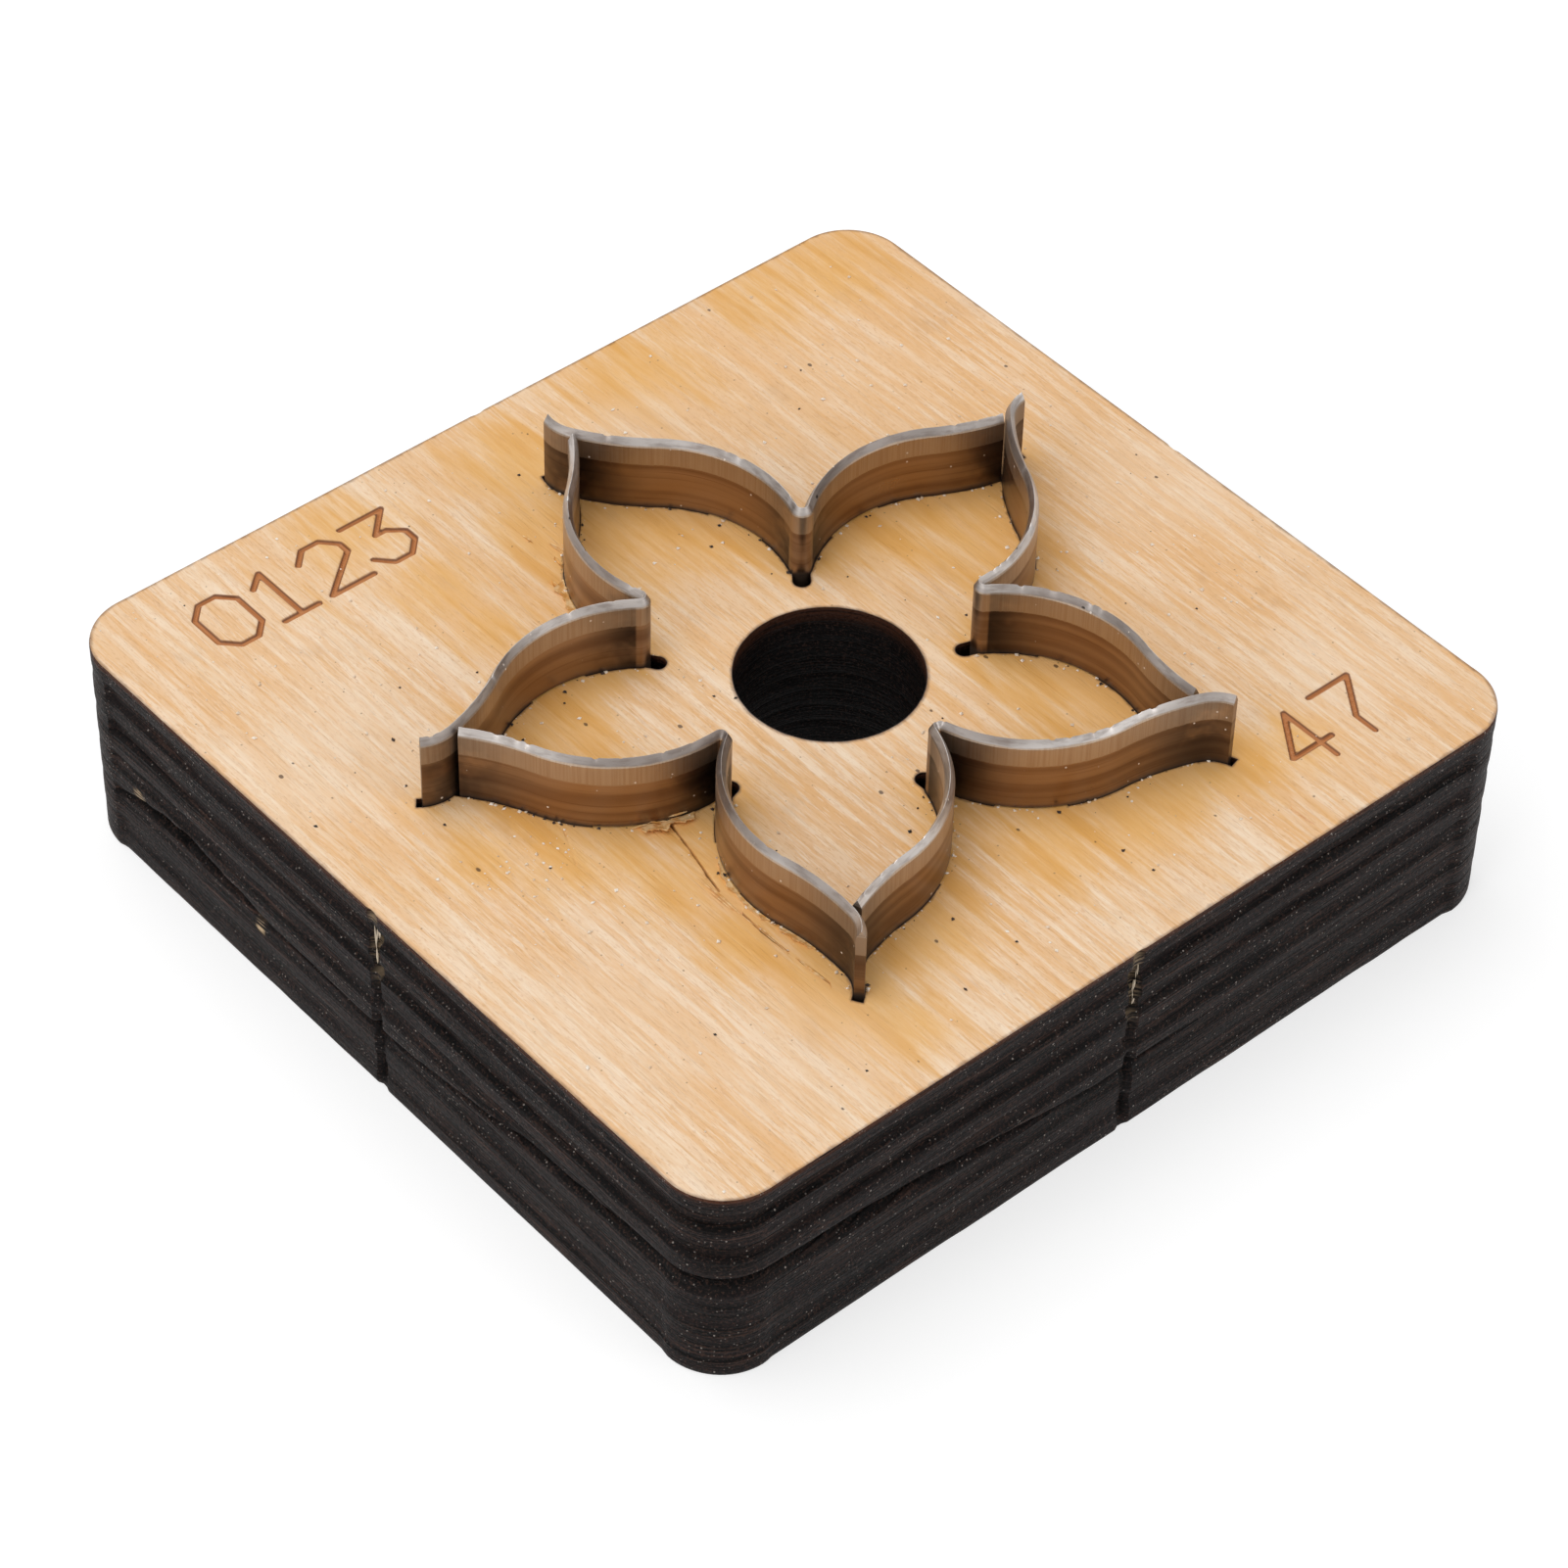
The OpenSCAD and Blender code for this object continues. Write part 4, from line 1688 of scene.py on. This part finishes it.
    def store_marks(self, piece: bpy.types.Object) -> None:
        """Stores what the materials need at each point: distances to cuts, stain, inset and torn wood.

        Args:
            piece: the board.
        """
        places = vertex_places(piece)
        flat = places[:, :2]
        near = distance_to_points(flat, self.rules.all_centrelines()) - self.rules.thickness / 2
        bore = np.linalg.norm(flat - self.hole_at, axis=1) - self.hole_r
        rim = self.rim_distance(flat)
        loops = np.concatenate([half for k in self.kerfs for half in (k, (k + np.roll(k, -1, axis=0)) / 2)])
        kerf = distance_to_points(flat, loops)
        away = np.abs(flat)
        to_notch = np.where(away > np.array(self.side_from), away[:, ::-1], np.inf).min(1)
        shreds = bell(to_notch, 0.2) * smoothstep(9.0, 13.5, places[:, 2])
        chips = self.spread_of(places[:, 1:], self.side_chips) * (flat[:, 0] < -self.side_from[0])
        in_petal = inside_loop(flat, self.rules.flower()) * smoothstep(10.0, 17.0, self.rules.reach(flat))
        bare = self.spread_of(flat, (self.bare_petal,))
        glaze = np.maximum(self.spread_of(flat, self.pools), in_petal * (0.85 - 0.85 * bare))
        by_rule = np.exp(-np.maximum(near, 0.0) / 2.2)
        in_hole = bore < 0.5
        marks = {
            "burnt": np.minimum.reduce([kerf, bore * 0.8, np.maximum(rim - 0.08, 0.0) * 0.7 + 0.06]),
            "stroke": self.stroke_distance(flat),
            "split": self.split_distance(flat),
            # In the hole the inset is set high, so that the char material paints it in shade.
            "inset": np.where(in_hole, 0.85, rim),
            "rim": (self.top_z - places[:, 2]) * np.where(in_hole, 0.4, 1.0),
            "torn": np.maximum(shreds, smoothstep(0.2, 0.6, chips)),
            "stain": np.clip(0.6 * by_rule + 0.6 * glaze, 0, 1),
            "bleach": self.spread_of(flat, self.pale_places),
        }
        for name, values in marks.items():
            set_attribute(piece, name, values)

    @staticmethod
    def spread_of(flat: Array, places: Sequence[Triple]) -> Array:
        """How much each flat point belongs to some round places: the largest of their bell curves.

        Args:
            flat: n points.
            places: centre and radius of each place.

        Returns:
            n numbers from 0 to 1.
        """
        spots = np.array(places)
        away = np.linalg.norm(flat[:, None] - spots[None, :, :2], axis=2)
        return bell(away, spots[:, 2]).max(1)


# Loose bits


@dataclass(frozen=True)
class SplinterPatch:
    """A place with torn fibres: its middle, how far they spread, which way they lie, and their sizes."""

    middle: Triple
    spread: Triple
    way: Triple
    fan: float
    count: int
    longest: float
    widest: float = 0.2


@dataclass(frozen=True)
class TornLip:
    """A lifted strip of face veneer beside a rule: which rule, where along its run, its width and lift."""

    rule: int
    first: float
    last: float
    width: float
    lift: float


@dataclass
class Splinters:
    """Torn wood: lifted veneer lips and slivers by the rules, and pale shreds in the snap-off notches."""

    board: PlywoodBoard
    seed: int = 17
    thickness: float = 0.12
    lips: tuple[TornLip, ...] = (
        TornLip(4, -6.6, -2.6, 1.15, 0.42),
        TornLip(4, 6.2, 12.6, 0.50, 0.14),
        TornLip(4, 13.2, 16.6, 0.42, 0.16),
        TornLip(5, -10.4, -6.6, 0.80, 0.16),
        TornLip(5, -5.6, -3.4, 0.55, 0.14),
    )

    def lip(self, lip: TornLip, seed: int) -> tuple[Array, Array]:
        """A ragged sheet that follows the foot of a rule on its outer side and rises away from it.

        Its width varies by noise along the run, and its height grows with the square of the distance from it.

        Args:
            lip: where it is and its size.
            seed: which noise.

        Returns:
            Points and quads of the closed sheet.
        """
        rules = self.board.rules
        path, normal, run = rules.path()
        u = np.linspace(lip.first, lip.last, int((lip.last - lip.first) / 0.05))
        v = np.linspace(0.0, 1.0, 9)
        at = np.column_stack([np.interp(u, run, path[:, i]) for i in (0, 1)])
        out = -np.column_stack([np.interp(u, run, normal[:, i]) for i in (0, 1)])
        ends = smoothstep(lip.first, lip.first + 0.5, u) * smoothstep(lip.last, lip.last - 0.5, u)
        ragged = fractal_noise(u * 1.6, np.zeros_like(u), seed, 4)
        reach = rules.thickness / 2 + 0.05 + v[None] * (lip.width * (0.15 + ends * ragged * 1.3))[:, None]
        flat = rules.placed((at[:, None] + out[:, None] * reach[:, :, None]).reshape(-1, 2), lip.rule)
        crumple = fractal_noise(u[:, None] * 2.4, v[None] * 3.0, seed + 7, 3)
        lift = (lip.lift * ends * (0.4 + ragged))[:, None]
        rise = 0.03 + lift * v[None] ** 2 + 0.08 * (crumple - 0.5) * v[None]
        high = np.column_stack([flat, (self.board.top_z + rise).reshape(-1)])
        low = high - np.array([0.0, 0.0, self.thickness])
        rows, columns = len(u), len(v)
        number = np.arange(rows * columns).reshape(rows, columns)
        border = np.concatenate([number[:-1, 0], number[-1, :-1], number[:0:-1, -1], number[0, :0:-1]])
        after = np.roll(border, -1)
        under = rows * columns
        skirt = np.stack([border, after, after + under, border + under], axis=1)
        sheet = grid_faces(rows, columns)
        return np.concatenate([high, low]), np.concatenate([sheet, sheet[:, ::-1] + under, skirt])

    def patches(self) -> tuple[SplinterPatch, ...]:
        """All places with torn fibres.

        Returns:
            The patches.
        """
        top = self.board.top_z
        left, front = -self.board.width / 2 + 0.55, -self.board.depth / 2 + 0.55
        along, fan = (0.80, -0.60, 0.08), 0.22
        grain = (0.02, -1.0, 0.0)
        return (
            SplinterPatch((-16.7, -5.8, top + 0.12), (0.9, 0.35, 0.08), along, fan, 14, 1.8, 0.32),
            SplinterPatch((-18.1, -16.4, top + 0.02), (0.15, 1.6, 0.03), grain, 0.03, 8, 3.6),
            SplinterPatch((-17.8, -22.4, top + 0.02), (0.15, 1.2, 0.03), grain, 0.03, 7, 2.6),
            SplinterPatch((-4.6, 19.6, top + 0.03), (0.5, 1.2, 0.03), grain, 0.10, 9, 2.0),
            SplinterPatch((-6.9, 16.4, top + 0.03), (0.35, 0.9, 0.03), grain, 0.10, 7, 1.6),
            SplinterPatch((left, 0.0, top - 2.8), (0.08, 0.10, 0.9), (0.0, 0.0, 1.0), 0.06, 7, 2.2, 0.15),
            SplinterPatch((0.2, front, top - 3.2), (0.10, 0.08, 1.2), (0.0, 0.0, 1.0), 0.08, 7, 1.6, 0.14),
        )

    @staticmethod
    def slivers(starts: Array, ways: Array, lengths: Array, widths: Array) -> tuple[Array, Array]:
        """Slivers as flat diamonds carried along straight runs and tapered to a point at both ends.

        Args:
            starts, ways: starting points and unit directions.
            lengths, widths: sizes.

        Returns:
            Points and quads of all slivers.
        """
        steps = 7
        t = np.linspace(0.0, 1.0, steps)
        swell = np.sin(np.clip(t * 0.94 + 0.03, 0, 1) * math.pi) ** 0.7
        side = np.cross(ways, np.array([0.3, 0.2, 0.93]))
        side /= np.linalg.norm(side, axis=1)[:, None]
        lift = np.cross(side, ways)
        corner = np.stack([side, lift * 0.45, -side, -lift * 0.45], axis=1)
        spine = starts[:, None] + ways[:, None] * (lengths[:, None] * t)[:, :, None]
        ring = corner[:, None] * (widths[:, None] * swell / 2)[:, :, None, None]
        points = spine[:, :, None] + ring
        index = np.arange(steps * 4).reshape(steps, 4)
        after = np.roll(index, -1, axis=1)
        tube = np.stack([index[:-1], after[:-1], after[1:], index[1:]], axis=-1).reshape(-1, 4)
        one = np.concatenate([tube[:, ::-1], np.stack([index[0], index[-1][::-1]])])
        return points.reshape(-1, 3), repeated(one, len(starts), steps * 4)

    def build(self, finish: bpy.types.Material) -> bpy.types.Object:
        """Makes all splinters as one piece.

        Args:
            finish: their material.

        Returns:
            The splinters.
        """
        rng = np.random.default_rng(self.seed)
        draft = MeshDraft()
        for place_no, lip in enumerate(self.lips):
            draft.add(*self.lip(lip, 200 + 11 * place_no))
        for patch in self.patches():
            many = (patch.count, 3)
            ways = np.array(patch.way) + rng.normal(0.0, patch.fan, many)
            ways /= np.linalg.norm(ways, axis=1)[:, None]
            lengths = rng.uniform(0.35, 1.0, patch.count) * patch.longest
            middles = np.array(patch.middle) + rng.normal(0.0, 1.0, many) * np.array(patch.spread)
            starts = middles - ways * lengths[:, None] / 2
            widths = rng.uniform(0.4, 1.0, patch.count) * patch.widest
            draft.add(*self.slivers(starts, ways, lengths, widths))
        return draft.build("wood_splinters", [finish])


@dataclass
class Crumbs:
    """Dust or char crumbs, each a squashed eight-sided bit: by the rules, in heaps, and scattered."""

    board: PlywoodBoard
    by_rule: int
    scattered: int
    seed: int
    heaps: tuple[tuple[float, float], ...] = ()
    in_heap: int = 24
    heap_r: float = 1.5
    largest: float = 0.20

    def foot_places(self, rng: np.random.Generator) -> Array:
        """Places just beside the rules.

        Args:
            rng: source of the random draws.

        Returns:
            The flat places.
        """
        rules = self.board.rules
        path, normal, _ = rules.path()
        pick = rng.integers(4, len(path) - 4, self.by_rule)
        side = rng.choice([-1.0, 1.0], self.by_rule)
        away = side * (rules.thickness / 2 + 0.1 + rng.exponential(0.16, self.by_rule))
        spot = path[pick] + normal[pick] * away[:, None]
        turns = np.array([rules.turn_of(i + 1) for i in range(rules.petals)])
        turn = turns[rng.integers(0, rules.petals, self.by_rule)]
        return spun(spot[:, 0], spot[:, 1], turn) + rules.centre

    def places(self, rng: np.random.Generator) -> Array:
        """All places, none of them over a cut.

        Args:
            rng: source of the random draws.

        Returns:
            The flat places.
        """
        half = np.array([self.board.width, self.board.depth]) / 2 - 1.5
        parts = [self.foot_places(rng), rng.uniform(-half, half, (self.scattered, 2))]
        parts += [np.array(heap) + rng.normal(0.0, self.heap_r, (self.in_heap, 2)) for heap in self.heaps]
        flat = np.concatenate(parts)
        clear = np.linalg.norm(flat - self.board.hole_at, axis=1) > self.board.hole_r + 0.2
        for loop in self.board.kerfs:
            clear &= ~inside_loop(flat, loop)
        return flat[clear]

    def build(self, name: str, finish: bpy.types.Material) -> bpy.types.Object:
        """Makes the crumbs as one piece.

        Args:
            name: name of the piece.
            finish: their material.

        Returns:
            The crumbs.
        """
        rng = np.random.default_rng(self.seed)
        flat = self.places(rng)
        size = self.largest * rng.uniform(0.25, 1.0, len(flat)) ** 2
        tips = np.array([[1, 0, 0], [0, 1, 0], [-1, 0, 0], [0, -1, 0], [0, 0, 1], [0, 0, -1]], float)
        uneven = rng.uniform(0.5, 1.3, (len(flat), len(tips), 1))
        bits = tips[None] * uneven * size[:, None, None] * np.array([1.0, 1.0, 0.6])
        angle = rng.uniform(0, math.pi, len(flat))
        around = spun(bits[:, :, 0], bits[:, :, 1], angle[:, None]) + flat[:, None]
        up = bits[:, :, 2] + self.board.top_z + size[:, None] * 0.2
        points = np.concatenate([around, up[:, :, None]], axis=2)
        ring = [(0, 1), (1, 2), (2, 3), (3, 0)]
        one = np.array([(a, b, 4) for a, b in ring] + [(b, a, 5) for a, b in ring])
        draft = MeshDraft()
        draft.add(points, repeated(one, len(flat), len(tips)))
        return draft.build(name, [finish])


# The studio


@dataclass(frozen=True)
class Lamp:
    """A square soft lamp that looks at the die: its place and side in metres, and its power."""

    name: str
    place: Triple
    size: float
    watts: float

    def build(self) -> None:
        """Makes the lamp."""
        data = bpy.data.lights.new(self.name, "AREA")
        data.shape = "SQUARE"
        data.size = self.size
        data.energy = self.watts
        made = bpy.data.objects.new(self.name, data)
        made.location = self.place
        made.rotation_euler = (-Vector(self.place)).to_track_quat("-Z", "Y").to_euler()
        bpy.context.scene.collection.objects.link(made)


@dataclass(frozen=True)
class Studio:
    """Pale floor, soft light from above, and a camera at the photograph's angle."""

    focal_px: float = 5264.0
    aim_mm: Triple = (-7.90, -8.39, 17.6)
    distance_mm: float = 352.3
    heading_deg: float = -131.72
    elevation_deg: float = 44.68
    roll_deg: float = 1.497
    floor_half_m: float = 3.0
    floor_gap_mm: float = 0.02
    floor_shades: tuple[Colour, Colour] = ((0.93, 0.93, 0.93, 1.0), (0.96, 0.96, 0.96, 1.0))
    floor_glow: float = 1.25
    glow_share: float = 0.5
    seen_light: float = 1.0
    other_light: float = 0.45
    lamps: tuple[Lamp, ...] = (
        Lamp("overhead", (-0.10, 0.25, 0.75), 0.7, 3.3),
        Lamp("left_front", (-0.75, -0.10, 0.55), 0.5, 1.8),
        Lamp("right_front", (0.35, -0.80, 0.45), 0.5, 1.2),
    )

    def camera(self) -> None:
        """Makes the camera: it looks at the aim point from its heading and elevation, with a slight roll."""
        heading, rise = math.radians(self.heading_deg), math.radians(self.elevation_deg)
        way = Vector((math.cos(heading) * math.cos(rise), math.sin(heading) * math.cos(rise), math.sin(rise)))
        data = bpy.data.cameras.new("camera")
        data.sensor_width = SENSOR_MM
        data.sensor_height = SENSOR_MM
        data.lens = self.focal_px / IMAGE_SIDE_PX * SENSOR_MM
        data.clip_start = 0.01
        data.clip_end = 50.0
        lens = bpy.data.objects.new("camera", data)
        lens.location = (Vector(self.aim_mm) + way * self.distance_mm) * MM
        roll = Matrix.Rotation(math.radians(self.roll_deg), 3, "Z")
        lens.rotation_euler = ((-way).to_track_quat("-Z", "Y").to_matrix() @ roll).to_euler()
        bpy.context.scene.collection.objects.link(lens)
        bpy.context.scene.camera = lens

    def floor(self) -> None:
        """Makes the floor, white to the camera but still shaded by the die."""
        half = self.floor_half_m / MM
        draft = MeshDraft()
        low = -self.floor_gap_mm
        corners = np.array([[-half, -half, low], [half, -half, low], [half, half, low], [-half, half, low]])
        draft.add(corners, np.array([[0, 1, 2, 3]]))
        g = Graph.named("pale_floor")
        colour = g.blend(g.object_noise((0.01, 0.01, 0.01), 2.0, 0.5), *self.floor_shades)
        surface = g.node("ShaderNodeBsdfDiffuse", None, {"Color": colour})
        light = g.node("ShaderNodeEmission", None, {"Color": WHITE, "Strength": self.floor_glow})
        shown = g.node("ShaderNodeMixShader", None, {0: g.seen() * self.glow_share, 1: surface, 2: light})
        g.add("ShaderNodeOutputMaterial", None, {0: shown})
        draft.build("floor", [g.owner])

    def world(self) -> None:
        """Makes the surroundings: white to look at, softer as a light."""
        world = bpy.data.worlds.new("studio")
        bpy.context.scene.world = world
        g = Graph(world)
        strength = self.other_light + g.seen() * (self.seen_light - self.other_light)
        light = g.node("ShaderNodeBackground", None, {"Color": WHITE, "Strength": strength})
        g.add("ShaderNodeOutputWorld", None, {0: light})

    def build(self) -> None:
        """Makes the whole studio."""
        self.floor()
        self.world()
        for lamp in self.lamps:
            lamp.build()
        self.camera()
        bpy.context.scene.view_settings.view_transform = "Standard"


def place(piece: bpy.types.Object, slot: str, nodes: Iterable[str] = ()) -> None:
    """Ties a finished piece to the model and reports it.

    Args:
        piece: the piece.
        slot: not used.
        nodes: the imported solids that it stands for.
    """
    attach(piece, "root")
    if nodes:
        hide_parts(*nodes)
    LOG.info("%s: %d faces", piece.name, len(piece.data.polygons))


def main() -> None:
    """Builds the die and the studio."""
    logging.basicConfig(level=logging.INFO, format="%(message)s")
    rules = CuttingRules()
    board = PlywoodBoard(rules)
    finishes = [VeneerFinish().material(), CharFinish().material(), BackFinish().material()]
    place(board.build(finishes), "board", ["die_board"])
    steel = RuleFinish().material()
    for index in range(1, rules.petals + 1):
        place(rules.build(index, steel, board.top_z), "rule", [f"cutting_rule_{index}"])
    shreds = CrumbFinish("torn_wood", srgb(236, 200, 146), srgb(212, 152, 76), srgb(214, 196, 172)).material()
    place(Splinters(board).build(shreds), "board")
    dust = CrumbFinish("pale_dust", srgb(246, 236, 222), srgb(214, 188, 156)).material()
    heaps = ((-26.5, -3.9), (-28.0, -3.7), (-24.6, -3.0))
    pale = Crumbs(board, by_rule=620, scattered=560, seed=23, heaps=heaps)
    place(pale.build("pale_dust", dust), "board")
    soot = CrumbFinish("char_crumbs", srgb(58, 42, 32), srgb(22, 17, 15)).material()
    charred = Crumbs(board, by_rule=240, scattered=90, seed=29)
    place(charred.build("char_crumbs", soot), "board")
    Studio().build()


if __name__ == "__main__":
    main()
